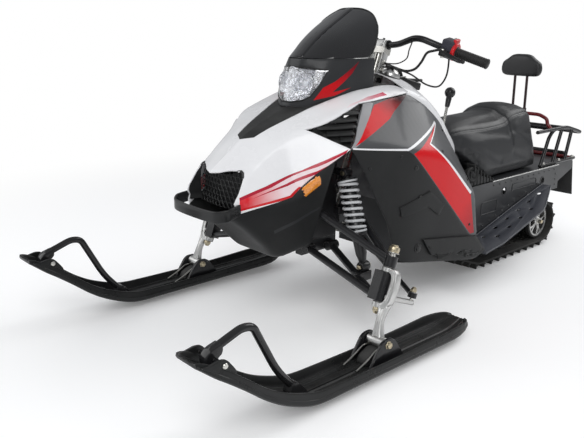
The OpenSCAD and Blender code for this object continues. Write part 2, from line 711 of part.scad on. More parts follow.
module wheel(x, y, z, r, w) {
  translate([x - w / 2, y, z]) rotate([0, 90, 0]) difference() {
    cylinder(h = w, r = r);
    cylinder(h = w * 3, r = 10 + fit_gap, center = true);
    for (a = [0:60:300]) rotate(a) translate([r * 0.5, 0, -1]) cylinder(h = w + 2, r = r * 0.18);
  }
}
module track_wheels() color("gray") set_back() {
  for (x = [-140, -50, 50, 140]) wheel(x, idler_y, idler_z, idler_r - 0.5, 26);
  rod([-165, idler_y, idler_z], [165, idler_y, idler_z], 10);
  for (x = [-115, 115]) for (y = [1080, 1220]) wheel(x, y, lug_h + belt_t + 44, 44 - fit_gap, 22);
}

module drive_axle() color("gray") set_back() {
  rod([-tunnel_half - 6, sprocket_y, sprocket_z], [tunnel_half + 6, sprocket_y, sprocket_z], 12);
  for (x = [-90, 90]) translate([x - 12, sprocket_y, sprocket_z]) rotate([0, 90, 0])
    cylinder(h = 24, r = sprocket_r - 0.5);
}

front_bulkhead();
belly_pan();
front_bumper();
nose_grille();
hood();
headlight_cowl();
headlight();
windshield();
hood_vents();
side_panel_left();
side_panel_right();
lower_cover_left();
lower_cover_right();
side_reflectors();
console();
engine();
recoil_starter();
reverse_lever();
tunnel();
running_boards();
mud_flap();
rear_rack();
tail_light();
seat();
backrest_frame();
backrest_pad();
track();
skid_frame();
track_wheels();
drive_axle();
upper_arms();
lower_arms();
kingpin_blocks();
shock_absorbers();
shock_springs();
steering_post();
handlebar();
hand_grips();
bar_controls();
control_cables();
knuckle_left();
knuckle_right();
tie_rod_left();
tie_rod_right();
ski_left();
ski_right();
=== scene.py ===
import json
import math

import bmesh
import bpy
import numpy as np
from mathutils import Matrix, Vector
from mathutils.bvhtree import BVHTree
from mathutils.geometry import convex_hull_2d, delaunay_2d_cdt

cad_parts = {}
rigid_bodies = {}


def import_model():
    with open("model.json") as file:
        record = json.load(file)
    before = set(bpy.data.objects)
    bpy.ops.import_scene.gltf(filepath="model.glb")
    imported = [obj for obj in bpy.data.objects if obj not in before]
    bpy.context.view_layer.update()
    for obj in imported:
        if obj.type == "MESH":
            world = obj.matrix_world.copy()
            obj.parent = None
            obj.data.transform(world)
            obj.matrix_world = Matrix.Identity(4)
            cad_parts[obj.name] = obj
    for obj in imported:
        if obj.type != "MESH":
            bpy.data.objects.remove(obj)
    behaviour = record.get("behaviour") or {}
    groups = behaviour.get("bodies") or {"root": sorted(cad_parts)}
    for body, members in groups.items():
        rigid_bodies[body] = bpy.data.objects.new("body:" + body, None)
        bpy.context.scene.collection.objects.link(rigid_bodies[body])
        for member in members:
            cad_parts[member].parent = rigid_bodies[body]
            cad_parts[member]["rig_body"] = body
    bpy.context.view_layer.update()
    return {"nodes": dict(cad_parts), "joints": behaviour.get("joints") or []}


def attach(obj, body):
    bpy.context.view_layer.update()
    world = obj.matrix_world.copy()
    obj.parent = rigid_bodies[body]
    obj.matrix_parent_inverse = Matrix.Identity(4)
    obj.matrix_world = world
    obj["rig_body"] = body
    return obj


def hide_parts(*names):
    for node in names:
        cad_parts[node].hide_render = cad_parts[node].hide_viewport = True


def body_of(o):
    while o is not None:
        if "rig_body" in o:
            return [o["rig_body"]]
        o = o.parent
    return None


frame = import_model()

mm = 0.001
skiBolt = next(j for j in frame["joints"] if j["name"] == "left_ski_pitch")["pos_m"]
boltY = skiBolt[1]  # every depth below is counted from the line of the two ski bolts, in millimetres


def at(x, y, z):
    return Vector((x * mm, y * mm + boltY, z * mm))


def ats(points):
    return [at(*p) for p in points]


def linked(name, data):
    piece = bpy.data.objects.new(name, data)
    bpy.context.scene.collection.objects.link(piece)
    return piece


# meshes
def newPiece(name, verts, faces, material, body, bevel=0.0, smoothAngle=40, segments=2, faceMaterials=None):
    mesh = bpy.data.meshes.new(name)
    mesh.from_pydata([tuple(v) for v in verts], [], faces)
    mesh.validate()
    piece = linked(name, mesh)
    for m in material if isinstance(material, list) else [material]:
        mesh.materials.append(m)
    if faceMaterials:
        mesh.polygons.foreach_set("material_index", faceMaterials)
    weldAndPoint(piece)
    if bevel:
        addBevel(piece, bevel, segments)
    shade(piece, smoothAngle)
    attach(piece, body)
    return piece


def weldAndPoint(piece, distance=1e-5):
    bm = bmesh.new()
    bm.from_mesh(piece.data)
    bmesh.ops.remove_doubles(bm, verts=bm.verts, dist=distance)
    bmesh.ops.recalc_face_normals(bm, faces=bm.faces)
    bm.to_mesh(piece.data)
    bm.free()


def shade(piece, angle=40):
    piece.data.shade_smooth()
    piece.data.set_sharp_from_angle(angle=math.radians(angle))


def addBevel(piece, width, segments=2, angle=35):
    bevel = piece.modifiers.new("roundedEdges", "BEVEL")
    bevel.width = width * mm
    bevel.segments = segments
    bevel.limit_method = "ANGLE"
    bevel.angle_limit = math.radians(angle)
    bevel.harden_normals = False
    bevel.use_clamp_overlap = True
    applyModifiers(piece)


def applyModifiers(piece):
    view = bpy.context.evaluated_depsgraph_get()
    made = bpy.data.meshes.new_from_object(
        piece.evaluated_get(view), preserve_all_data_layers=True, depsgraph=view
    )
    old = piece.data
    piece.modifiers.clear()
    piece.data = made
    made.name = piece.name
    bpy.data.meshes.remove(old)


def joinPieces(name, parts):
    bm = bmesh.new()
    slots = []
    for part in parts:
        first = len(bm.faces)
        bm.from_mesh(part.data)
        bm.faces.ensure_lookup_table()
        remap = []
        for m in part.data.materials:
            if m not in slots:
                slots.append(m)
            remap.append(slots.index(m))
        for face in bm.faces[first:]:
            face.material_index = remap[face.material_index] if remap else 0
    mesh = bpy.data.meshes.new(name)
    bm.to_mesh(mesh)
    bm.free()
    for m in slots:
        mesh.materials.append(m)
    whole = linked(name, mesh)
    body = body_of(parts[0])[0]
    for part in parts:
        bpy.data.objects.remove(part)
    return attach(whole, body)


def mirrored(points):
    return [Vector((-p[0], p[1], p[2])) for p in points]


def mirrorPiece(piece, name, body=None):
    mesh = piece.data.copy()
    mesh.name = name
    twin = linked(name, mesh)
    mesh.transform(Matrix.Scale(-1, 4, (1, 0, 0)))
    mesh.flip_normals()
    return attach(twin, body or body_of(piece)[0])


def curvePoints(points, perSpan=8, closed=False):
    pts = [Vector(p) for p in points]
    count = len(pts)
    out = []
    for i in range(count if closed else count - 1):
        p0 = pts[(i - 1) % count] if closed or i > 0 else pts[0] * 2 - pts[1]
        p1 = pts[i]
        p2 = pts[(i + 1) % count]
        p3 = pts[(i + 2) % count] if closed or i + 2 < count else p2 * 2 - p1
        t1 = max((p1 - p0).length, 1e-6) ** 0.5
        t2 = t1 + max((p2 - p1).length, 1e-6) ** 0.5
        t3 = t2 + max((p3 - p2).length, 1e-6) ** 0.5
        for k in range(perSpan):
            t = t1 + (t2 - t1) * k / perSpan
            a1 = p0 * ((t1 - t) / t1) + p1 * (t / t1)
            a2 = p1 * ((t2 - t) / (t2 - t1)) + p2 * ((t - t1) / (t2 - t1))
            a3 = p2 * ((t3 - t) / (t3 - t2)) + p3 * ((t - t2) / (t3 - t2))
            b1 = a1 * ((t2 - t) / t2) + a2 * (t / t2)
            b2 = a2 * ((t3 - t) / (t3 - t1)) + a3 * ((t - t1) / (t3 - t1))
            out.append(b1 * ((t2 - t) / (t2 - t1)) + b2 * ((t - t1) / (t2 - t1)))
    if not closed:
        out.append(pts[-1])
    return out


def roundedPath(points, radius, steps=6):
    pts = [Vector(p) for p in points]
    out = [pts[0]]
    for a, b, c in zip(pts, pts[1:], pts[2:]):
        r = min(radius * mm, (a - b).length * 0.48, (c - b).length * 0.48)
        start = b + (a - b).normalized() * r
        end = b + (c - b).normalized() * r
        out += [
            start * (1 - t) ** 2 + b * 2 * t * (1 - t) + end * t * t
            for t in [k / steps for k in range(steps + 1)]
        ]
    return out + [pts[-1]]


def sweep(path, ring, closed=False, capped=True, scaleAt=None):
    pts = [Vector(p) for p in path]
    count = len(pts)
    tangent = (pts[1] - pts[0]).normalized()
    side = tangent.orthogonal().normalized()
    if abs(tangent.x) < 0.9:
        side = (Vector((1, 0, 0)) - tangent * tangent.x).normalized()
    verts, faces = [], []
    n = len(ring)
    for i, p in enumerate(pts):
        before = pts[i - 1] if i or closed else pts[i]
        after = pts[(i + 1) % count] if i + 1 < count or closed else pts[i]
        now = (after - before).normalized()
        side = (side - now * side.dot(now)).normalized()
        up = now.cross(side)
        grow = scaleAt(i / (count - 1)) if scaleAt else 1.0
        verts += [p + (side * u + up * v) * grow for u, v in ring]
    rings = count if closed else count - 1
    for i in range(rings):
        a, b = i * n, (i + 1) % count * n
        faces += [(a + k, a + (k + 1) % n, b + (k + 1) % n, b + k) for k in range(n)]
    if capped and not closed:
        faces.append(tuple(reversed(range(n))))
        faces.append(tuple((count - 1) * n + k for k in range(n)))
    return verts, faces


def circleRing(radius, sides=16):
    return [
        (radius * mm * math.cos(a), radius * mm * math.sin(a))
        for a in np.linspace(0, 2 * math.pi, sides, False)
    ]


def tube(name, path, radius, material, body, sides=16, closed=False, scaleAt=None, angle=50):
    verts, faces = sweep(path, circleRing(radius, sides), closed, True, scaleAt)
    return newPiece(name, verts, faces, material, body, smoothAngle=angle)


def turned(name, base, axis, profile, material, body, sides=32, bevel=0.0, angle=35):
    axis = Vector(axis).normalized()
    side = axis.orthogonal().normalized()
    up = axis.cross(side)
    verts, faces = [], []
    for r, h in profile:
        verts += [
            base + axis * h * mm + (side * math.cos(a) + up * math.sin(a)) * max(r, 1e-4) * mm
            for a in np.linspace(0, 2 * math.pi, sides, False)
        ]
    for i in range(len(profile) - 1):
        a, b = i * sides, (i + 1) * sides
        faces += [(a + k, a + (k + 1) % sides, b + (k + 1) % sides, b + k) for k in range(sides)]
    if profile[0] != profile[-1]:  # an open profile is closed by its two ends
        faces.append(tuple(reversed(range(sides))))
        faces.append(tuple((len(profile) - 1) * sides + k for k in range(sides)))
    return newPiece(name, verts, faces, material, body, bevel, angle)


def prism(name, outline, axis, low, high, material, body, bevel=1.0, angle=35, segments=2):
    order = {"x": (2, 0, 1), "y": (0, 2, 1), "z": (0, 1, 2)}[axis]
    n = len(outline)
    verts = [at(*[(u, v, w)[k] for k in order]) for w in (low, high) for u, v in outline]
    faces = [tuple(reversed(range(n))), tuple(range(n, 2 * n))]
    faces += [(k, (k + 1) % n, n + (k + 1) % n, n + k) for k in range(n)]
    return newPiece(name, verts, faces, material, body, bevel, angle, segments)


# where the camera stands and how it looks
view = {"place": (1740.7, -1465.7, 1019.6), "azimuth": 48.3317, "pitch": -15.9505, "lens": 43.478}


def makeCamera(view):
    lens = bpy.data.cameras.new("camera")
    lens.lens = view["lens"]
    lens.sensor_width = 36.0
    lens.clip_end = 100
    camera = linked("camera", lens)
    camera.location = at(*view["place"])
    a, e = math.radians(view["azimuth"]), math.radians(view["pitch"])
    aim = Vector((-math.sin(a) * math.cos(e), math.cos(a) * math.cos(e), math.sin(e)))
    camera.rotation_euler = aim.to_track_quat("-Z", "Y").to_euler()
    bpy.context.scene.camera = camera
    return camera


makeCamera(view)
print("camera done")


# shader groups shared by several materials
def newGroup(name, inputs, outputs):
    group = bpy.data.node_groups.new(name, "ShaderNodeTree")
    for label, kind, value in inputs:
        socket = group.interface.new_socket(label, in_out="INPUT", socket_type=kind)
        socket.default_value = value
    for label, kind in outputs:
        group.interface.new_socket(label, in_out="OUTPUT", socket_type=kind)
    return group, group.nodes.new("NodeGroupInput"), group.nodes.new("NodeGroupOutput")


def addNode(tree, kind, links=(), **settings):
    node = tree.nodes.new(kind)
    for key, value in settings.items():
        setattr(node, key, value)
    for key, value in links:
        if hasattr(value, "is_output"):
            tree.links.new(value, node.inputs[key])
        else:
            node.inputs[key].default_value = value
    return node


def addMath(tree, operation, a, b):
    return addNode(tree, "ShaderNodeMath", [(0, a), (1, b)], operation=operation)


def addNoise(tree, place, scale, detail=2.0):
    return addNode(tree, "ShaderNodeTexNoise", [("Vector", place), ("Scale", scale), ("Detail", detail)])


def addRamp(tree, value, low, high):
    return addNode(tree, "ShaderNodeMapRange", [("Value", value), ("From Min", low), ("From Max", high)])


def objectPlace(tree):
    return addNode(tree, "ShaderNodeTexCoord").outputs["Object"]


def grainGroup():
    group, given, out = newGroup(
        "mouldedGrain",
        [("Scale", "NodeSocketFloat", 900.0), ("Cells", "NodeSocketFloat", 0.5)],
        [("Height", "NodeSocketFloat"), ("Shade", "NodeSocketFloat")],
    )
    place = objectPlace(group)
    cells = addNode(group, "ShaderNodeTexVoronoi", [("Vector", place), ("Scale", given.outputs["Scale"])])
    fine = addNoise(group, place, given.outputs["Scale"], 3.0)
    both = addNode(
        group, "ShaderNodeMix", [
            ("Factor", given.outputs["Cells"]), ("A", fine.outputs["Fac"]), ("B", cells.outputs["Distance"])
        ]
    )
    broad = addNode(
        group, "ShaderNodeTexNoise", [("Vector", place), ("Scale", 7.0), ("Detail", 5.0), ("Roughness", 0.6)]
    )
    group.links.new(both.outputs["Result"], out.inputs["Height"])
    group.links.new(broad.outputs["Fac"], out.inputs["Shade"])
    return group


def wearGroup():
    # true along sharp edges, found where a rounded normal leaves the real one
    group, given, out = newGroup(
        "edgeWear",
        [("Reach", "NodeSocketFloat", 0.04), ("Break", "NodeSocketFloat", 60.0)],
        [("Mask", "NodeSocketFloat")],
    )
    width = addMath(group, "MULTIPLY", given.outputs["Reach"], 0.03)
    rounded = addNode(group, "ShaderNodeBevel", [("Radius", width.outputs[0])], samples=4)
    real = addNode(group, "ShaderNodeNewGeometry").outputs["Normal"]
    match = addNode(
        group, "ShaderNodeVectorMath", [(0, rounded.outputs[0]), (1, real)], operation="DOT_PRODUCT"
    )
    edge = addRamp(group, match.outputs["Value"], 0.985, 0.90)
    place = objectPlace(group)
    spots = addNoise(group, place, given.outputs["Break"], 4.0)
    spot = addRamp(group, spots.outputs["Fac"], 0.46, 0.64)
    mask = addMath(group, "MULTIPLY", edge.outputs[0], spot.outputs[0])
    group.links.new(mask.outputs[0], out.inputs["Mask"])
    return group


def dustGroup():
    group, given, out = newGroup(
        "settledDust",
        [("Amount", "NodeSocketFloat", 0.3), ("Patch", "NodeSocketFloat", 14.0)],
        [("Mask", "NodeSocketFloat")],
    )
    normal = addNode(group, "ShaderNodeNewGeometry").outputs["Normal"]
    up = addNode(group, "ShaderNodeSeparateXYZ", [(0, normal)]).outputs["Z"]
    place = objectPlace(group)
    patch = addNoise(group, place, given.outputs["Patch"], 6.0)
    lit = addRamp(group, up, -0.2, 1.0)
    both = addMath(group, "MULTIPLY", lit.outputs[0], patch.outputs["Fac"])
    mask = addMath(group, "MULTIPLY", both.outputs[0], given.outputs["Amount"])
    group.links.new(mask.outputs[0], out.inputs["Mask"])
    return group


def brushGroup():
    group, given, out = newGroup(
        "brushedLines",
        [("Stretch", "NodeSocketVector", (40.0, 900.0, 900.0))],
        [("Height", "NodeSocketFloat"), ("Shade", "NodeSocketFloat")],
    )
    place = objectPlace(group)
    scaled = addNode(
        group, "ShaderNodeVectorMath", [(0, place), (1, given.outputs["Stretch"])], operation="MULTIPLY"
    )
    lines = addNode(
        group, "ShaderNodeTexNoise", [("Vector", scaled.outputs[0]), ("Scale", 1.0), ("Detail", 2.0)]
    )
    blot = addNoise(group, place, 22.0, 4.0)
    group.links.new(lines.outputs["Fac"], out.inputs["Height"])
    group.links.new(blot.outputs["Fac"], out.inputs["Shade"])
    return group


groups = {"grain": grainGroup(), "wear": wearGroup(), "dust": dustGroup(), "brush": brushGroup()}


def placeGroup(tree, key, **values):
    node = addNode(tree, "ShaderNodeGroup", node_tree=groups[key])
    for label, value in values.items():
        node.inputs[label].default_value = value
    return node


def blendColors(tree, factor, a, b):
    mix = addNode(tree, "ShaderNodeMix", data_type="RGBA")
    for socket, value in ((mix.inputs["Factor"], factor), (mix.inputs[6], a), (mix.inputs[7], b)):
        if hasattr(value, "is_output"):
            tree.links.new(value, socket)
        elif socket == mix.inputs["Factor"]:
            socket.default_value = value
        else:
            socket.default_value = (*value, 1.0)
    return mix.outputs[2]


def spread(tree, value, low, high, fromLow=0.3, fromHigh=0.7):
    return addNode(
        tree, "ShaderNodeMapRange", [
            ("Value", value), ("From Min", fromLow), ("From Max", fromHigh), ("To Min", low), ("To Max", high)
        ]
    ).outputs[0]


def surface(name, **sockets):
    material = bpy.data.materials.new(name)
    material.use_nodes = True
    shader = material.node_tree.nodes["Principled BSDF"]
    for label, value in sockets.items():
        label = label.replace("_", " ")
        shader.inputs[label].default_value = (*value, 1.0) if label in (
            "Base Color", "Emission Color"
        ) else value
    return material, material.node_tree, shader


def roughen(tree, shader, height, strength, distance):
    bump = addNode(
        tree, "ShaderNodeBump", [("Strength", strength), ("Distance", distance), ("Height", height)]
    )
    tree.links.new(bump.outputs[0], shader.inputs["Normal"])


def finishWith(tree, shader, tone, detail, smooth, rough, strength, distance):
    # colour, roughness and bump from one detail group
    tree.links.new(tone, shader.inputs["Base Color"])
    tree.links.new(spread(tree, detail.outputs["Shade"], smooth, rough), shader.inputs["Roughness"])
    roughen(tree, shader, detail.outputs["Height"], strength, distance)


def plastic(
    name, color, second, roughness, grainScale=900.0, grainDepth=0.12, dust=0.12, coat=0.0, cells=0.5,
    wear=0.0,
):
    material, tree, shader = surface(
        name, Specular_IOR_Level=0.22, Coat_Weight=coat * 0.5, Coat_Roughness=0.08
    )
    grain = placeGroup(tree, "grain", Scale=grainScale, Cells=cells)
    tone = blendColors(tree, spread(tree, grain.outputs["Shade"], 0.0, 1.0), color, second)
    if dust:
        powder = placeGroup(tree, "dust", Amount=dust)
        tone = blendColors(tree, powder.outputs["Mask"], tone, (0.45, 0.44, 0.42))
    if wear:
        edge = placeGroup(tree, "wear", Reach=wear)
        tone = blendColors(tree, edge.outputs["Mask"], tone, tuple(min(1.0, c * 2.2 + 0.05) for c in color))
    finishWith(tree, shader, tone, grain, roughness - 0.05, roughness + 0.07, grainDepth, 0.0006)
    return material


def metal(name, color, second, roughness, stretch=(40.0, 900.0, 900.0), depth=0.08, rust=0.0, metallic=1.0):
    material, tree, shader = surface(name, Metallic=metallic)
    brush = placeGroup(tree, "brush", Stretch=stretch)
    tone = blendColors(tree, spread(tree, brush.outputs["Shade"], 0.0, 1.0), color, second)
    if rust:
        edge = placeGroup(tree, "wear", Reach=0.06, Break=140.0)
        tone = blendColors(tree, edge.outputs["Mask"], tone, (0.30, 0.22, 0.15))
    finishWith(tree, shader, tone, brush, roughness - 0.06, roughness + 0.1, depth, 0.0004)
    return material


def paintedMetal(name, color, second, roughness, chips=0.05, coat=0.3):
    material, tree, shader = surface(
        name, Specular_IOR_Level=0.34, Coat_Weight=coat * 0.6, Coat_Roughness=0.12
    )
    grain = placeGroup(tree, "grain", Scale=1400.0, Cells=0.1)
    edge = placeGroup(tree, "wear", Reach=chips, Break=110.0)
    tone = blendColors(tree, spread(tree, grain.outputs["Shade"], 0.0, 1.0), color, second)
    tone = blendColors(tree, edge.outputs["Mask"], tone, (0.30, 0.29, 0.28))
    finishWith(tree, shader, tone, grain, roughness - 0.05, roughness + 0.08, 0.1, 0.0004)
    return material


# a pale floor that keeps the shadow near the machine and turns white farther off
floorMesh = bpy.data.meshes.new("floor")
floorMesh.from_pydata([(-30, -30, 0), (30, -30, 0), (30, 30, 0), (-30, 30, 0)], [], [(0, 1, 2, 3)])
floor = linked("floor", floorMesh)
floorPaint, tree, shader = surface(
    "floorPaint", Roughness=0.9, Base_Color=(
        0.93, 0.93, 0.93
    ), Emission_Color=(1, 1, 1), Emission_Strength=0.12
)
shader.inputs["Specular IOR Level"].default_value = 0.1
glow = addNode(tree, "ShaderNodeEmission", [("Color", (1, 1, 1, 1)), ("Strength", 1.0)])
rays = addNode(tree, "ShaderNodeLightPath")
place = objectPlace(tree)
reach = addNode(tree, "ShaderNodeVectorMath", [(0, place)], operation="LENGTH")
far = addNode(
    tree, "ShaderNodeMapRange",
    [("Value", reach.outputs["Value"]), ("From Min", 1.4), ("From Max", 3.2)],
    interpolation_type="SMOOTHSTEP",
)
shown = addMath(tree, "MULTIPLY", rays.outputs["Is Camera Ray"], far.outputs[0])
either = addMath(tree, "MAXIMUM", rays.outputs["Is Transmission Ray"], shown.outputs[0])
mixed = addNode(
    tree, "ShaderNodeMixShader", [(0, either.outputs[0]), (1, shader.outputs[0]), (2, glow.outputs[0])]
)
tree.links.new(mixed.outputs[0], tree.nodes["Material Output"].inputs["Surface"])
floorMesh.materials.append(floorPaint)

# a white room that the camera sees plain, and that reflections see dimmer
world = bpy.data.worlds.new("studio")
world.use_nodes = True
bpy.context.scene.world = world
tree = world.node_tree
back = tree.nodes["Background"]
back.inputs["Color"].default_value = (0.92, 0.94, 0.97, 1)
white = addNode(tree, "ShaderNodeBackground", [("Color", (1, 1, 1, 1)), ("Strength", 1.0)])
rays = addNode(tree, "ShaderNodeLightPath")
seen = addMath(tree, "MAXIMUM", rays.outputs["Is Camera Ray"], rays.outputs["Is Transmission Ray"])
calm = addNode(
    tree, "ShaderNodeMapRange", [("Value", rays.outputs["Is Glossy Ray"]), ("To Min", 0.50), ("To Max", 0.30)]
)
tree.links.new(calm.outputs[0], back.inputs["Strength"])
mixed = addNode(
    tree, "ShaderNodeMixShader", [(0, seen.outputs[0]), (1, back.outputs[0]), (2, white.outputs[0])]
)
tree.links.new(mixed.outputs[0], tree.nodes["World Output"].inputs["Surface"])

lamps = [
    {"name": "keyLamp", "place": (2600, -2600, 3200), "size": 2.6, "power": 88},
    {"name": "fillLamp", "place": (-2600, -2200, 2300), "size": 3.0, "power": 42},
    {"name": "backLamp", "place": (900, 3200, 2800), "size": 2.6, "power": 60},
]
for lamp in lamps:
    light = bpy.data.lights.new(lamp["name"], "AREA")
    light.energy = lamp["power"]
    light.size = lamp["size"]
    shown = linked(lamp["name"], light)
    shown.location = at(*lamp["place"])
    shown.rotation_euler = (at(0, 500, 450) - shown.location).to_track_quat("-Z", "Y").to_euler()
bpy.context.scene.view_settings.view_transform = "Standard"
print("floor and light done")


# the body's outer surface, from nose to foot wells
# one row per depth: bottom centre, bottom edge, belt, shoulder, crown, top centre, each as half width and height
bodyRows = [
    (-262, [(0, 440), (110, 440), (126, 498), (112, 544), (60, 554), (0, 560)]),
    (-200, [(0, 390), (112, 390), (150, 490), (118, 574), (62, 592), (0, 604)]),
    (-130, [(0, 325), (112, 325), (184, 486), (124, 628), (66, 646), (0, 658)]),
    (-70, [(0, 272), (102, 272), (210, 502), (142, 664), (68, 682), (0, 690)]),
    (25, [(0, 300), (155, 300), (268, 607), (206, 704), (70, 724), (0, 730)]),
    (90, [(0, 296), (235, 300), (305, 640), (214, 728), (96, 748), (0, 753)]),
    (270, [(0, 226), (318, 226), (350, 618), (206, 780), (140, 797), (0, 801)]),
    (450, [(0, 190), (330, 190), (355, 570), (204, 776), (130, 793), (0, 797)]),
    (600, [(0, 160), (334, 160), (345, 470), (205, 680), (100, 696), (0, 700)]),
    (770, [(0, 140), (334, 140), (334, 300), (205, 420), (100, 450), (0, 460)]),
]


def shellTree(lines, span=8, corner=22):
    # lines run along the surface, and every ring across them is rounded at its corners
    runs = [curvePoints(line, span) for line in lines]
    rings = [roundedPath(list(knots), corner, 5) for knots in zip(*runs)]
    verts = [p for ring in rings for p in ring]
    n = len(rings[0])
    faces = [
        (i * n + k, i * n + k + 1, (i + 1) * n + k + 1, (i + 1) * n + k)
        for i in range(len(rings) - 1)
        for k in range(n - 1)
    ]
    count = len(verts)
    verts += mirrored(verts)
    faces += [tuple(count + v for v in reversed(f)) for f in faces]
    return BVHTree.FromPolygons([tuple(v) for v in verts], faces)


bodyTree = shellTree([[at(r[1][k][0], r[0], r[1][k][1]) for r in bodyRows] for k in range(6)])


def landed(tree, start, aim):
    hit = tree.ray_cast(start, aim.normalized())[0]
    return hit if hit is not None else tree.find_nearest(start + aim)[0]


def onSide(y, z, tree=None):
    return landed(tree or bodyTree, at(900, y, z), Vector((-0.9, 0, 0)))


def onTop(x, y, tree=None):
    return landed(tree or bodyTree, at(x, y, 1500), Vector((0, 0, -0.8)))


def walk(points, closed=True, step=10):
    out = []
    ends = points[1:] + points[:1] if closed else points[1:]
    for a, b in zip(points, ends):
        count = max(1, round(math.dist(a, b) / step))
        out += [tuple(a[k] + (b[k] - a[k]) * i / count for k in range(len(a))) for i in range(count)]
    return out if closed else out + [points[-1]]


def inside(p, polygon):
    found = False
    for (ax, ay), (bx, by) in zip(polygon, polygon[1:] + polygon[:1]):
        if (ay > p[1]) != (by > p[1]) and p[0] < (bx - ax) * (p[1] - ay) / (by - ay) + ax:
            found = not found
    return found


def edgeGap(points, polygon):
    a = np.array(polygon)
    b = np.roll(a, -1, 0)
    d = b - a
    length = np.maximum((d**2).sum(1), 1e-12)
    gaps = np.full(len(points), 1e9)
    for i, p in enumerate(points):
        t = np.clip(((p - a) * d).sum(1) / length, 0, 1)
        gaps[i] = np.sqrt((((a + d * t[:, None]) - p) ** 2).sum(1)).min()
    return gaps


class RoundView:
    # flattens a surface round a lengthwise axis
    def __init__(self, tree, front, back, reach=250):
        self.tree, self.front, self.back, self.reach = tree, front, back, reach * mm

    def axisHeight(self, y):
        share = (y - boltY - self.front[0] * mm) / ((self.back[0] - self.front[0]) * mm)
        return (self.front[1] + (self.back[1] - self.front[1]) * share) * mm

    def flat(self, p):
        return (p[1], math.atan2(p[2] - self.axisHeight(p[1]), p[0]) * self.reach)

    def reachPoint(self, q):
        angle = q[1] / self.reach
        return Vector((0, q[0], self.axisHeight(q[0]))) + Vector((math.cos(angle), 0, math.sin(angle))) * 0.9

    def solid(self, q):
        start = self.reachPoint(q)
        return landed(self.tree, start, Vector((0, q[0], self.axisHeight(q[0]))) - start)


class SideView:
    def __init__(self, tree):
        self.tree = tree

    def flat(self, p):
        return (p[1], p[2])

    def reachPoint(self, q):
        return Vector((0.9, q[0], q[1]))

    def solid(self, q):
        return landed(self.tree, self.reachPoint(q), Vector((-0.9, 0, 0)))


class TurretView:
    # flattens a surface round an upright axis
    def __init__(self, tree, depth, reach=120):
        self.tree, self.depth, self.reach = tree, depth * mm + boltY, reach * mm

    def flat(self, p):
        return (math.atan2(p[0], self.depth - p[1]) * self.reach, p[2])

    def reachPoint(self, q):
        angle = q[0] / self.reach
        return Vector((math.sin(angle) * 0.9, self.depth - math.cos(angle) * 0.9, q[1]))

    def solid(self, q):
        start = self.reachPoint(q)
        return landed(self.tree, start, Vector((0, self.depth, q[1])) - start)


def skin(
    name, view, outline, materials, body, areas=(), holes=(), grid=11, wall=4.0, lift=0.0, both=True,
    bevel=1.0, rows=(),
):
    # outline, areas and holes are lists of points on the surface
    edge = [view.flat(p) for p in outline]
    inner = [[view.flat(p) for p in a] for a, m in areas]
    cuts = [[view.flat(p) for p in h] for h in holes]
    lines = [[view.flat(p) for p in r] for r in rows]
    points, links, exact = [], [], {}
    loops = [(edge, outline)] + list(zip(inner, [a for a, m in areas])) + list(zip(cuts, holes))
    for loop, solid in loops:
        first = len(points)
        for k, (q, p) in enumerate(zip(loop, solid)):
            exact[len(points)] = p
            points.append(Vector(q))
            links.append((first + k, first + (k + 1) % len(loop)))
    for line in lines:
        first = len(points)
        points += [Vector(q) for q in line]
        links += [(first + k, first + k + 1) for k in range(len(line) - 1)]
    low = np.array(edge).min(0)
    high = np.array(edge).max(0)
    step = grid * mm
    filler = []
    for j, v in enumerate(np.arange(low[1], high[1], step * 0.866)):
        for u in np.arange(low[0] + (j % 2) * step / 2, high[0], step):
            if inside((u, v), edge):
                filler.append((u, v))
    filler = np.array(filler)
    for loop in [edge] + inner + cuts:
        if len(filler):
            filler = filler[edgeGap(filler, loop) > step * 0.45]
    points += [Vector(q) for q in filler]
    flat, _, tris, origins, _, _ = delaunay_2d_cdt(points, links, [], 0, 1e-6, True)
    verts = []
    for q, origin in zip(flat, origins):
        known = [exact[o] for o in origin if o in exact]
        verts.append(known[0].copy() if known else view.solid((q.x, q.y)))
    faces, kinds = [], []
    for tri in tris:
        middle = sum((flat[k] for k in tri), Vector((0, 0))) / len(tri)
        if not inside(middle, edge) or any(inside(middle, c) for c in cuts):
            continue
        kind = 0
        for loop, (_, m) in zip(inner, areas):
            if inside(middle, loop):
                kind = m
        faces.append(tuple(tri))
        kinds.append(kind)
    if both:
        count = len(verts)
        verts += mirrored(verts)
        faces += [tuple(count + k for k in reversed(f)) for f in faces]
        kinds += kinds
    mesh = bpy.data.meshes.new(name)
    mesh.from_pydata([tuple(v) for v in verts], [], faces)
    mesh.polygons.foreach_set("material_index", kinds)
    piece = linked(name, mesh)
    for m in materials:
        mesh.materials.append(m)
    bm = bmesh.new()
    bm.from_mesh(mesh)
    bmesh.ops.remove_doubles(bm, verts=bm.verts, dist=2e-5)
    bmesh.ops.delete(bm, geom=[v for v in bm.verts if not v.link_faces], context="VERTS")
    bmesh.ops.recalc_face_normals(bm, faces=bm.faces)
    total = sum((f.normal.dot(f.calc_center_median() - Vector((0, boltY + 0.15, 0.45))) for f in bm.faces))
    if total < 0:
        bmesh.ops.reverse_faces(bm, faces=bm.faces)
    bm.to_mesh(mesh)
    bm.free()
    if lift:
        move = [v.normal * lift * mm for v in mesh.vertices]
        for v, m in zip(mesh.vertices, move):
            v.co += m
    if wall:
        thick = piece.modifiers.new("wall", "SOLIDIFY")
        thick.thickness = wall * mm
        thick.offset = -1
        thick.use_even_offset = False
        applyModifiers(piece)
    if bevel:
        addBevel(piece, bevel, 2, 50)
    shade(piece, 38)
    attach(piece, body)
    return piece


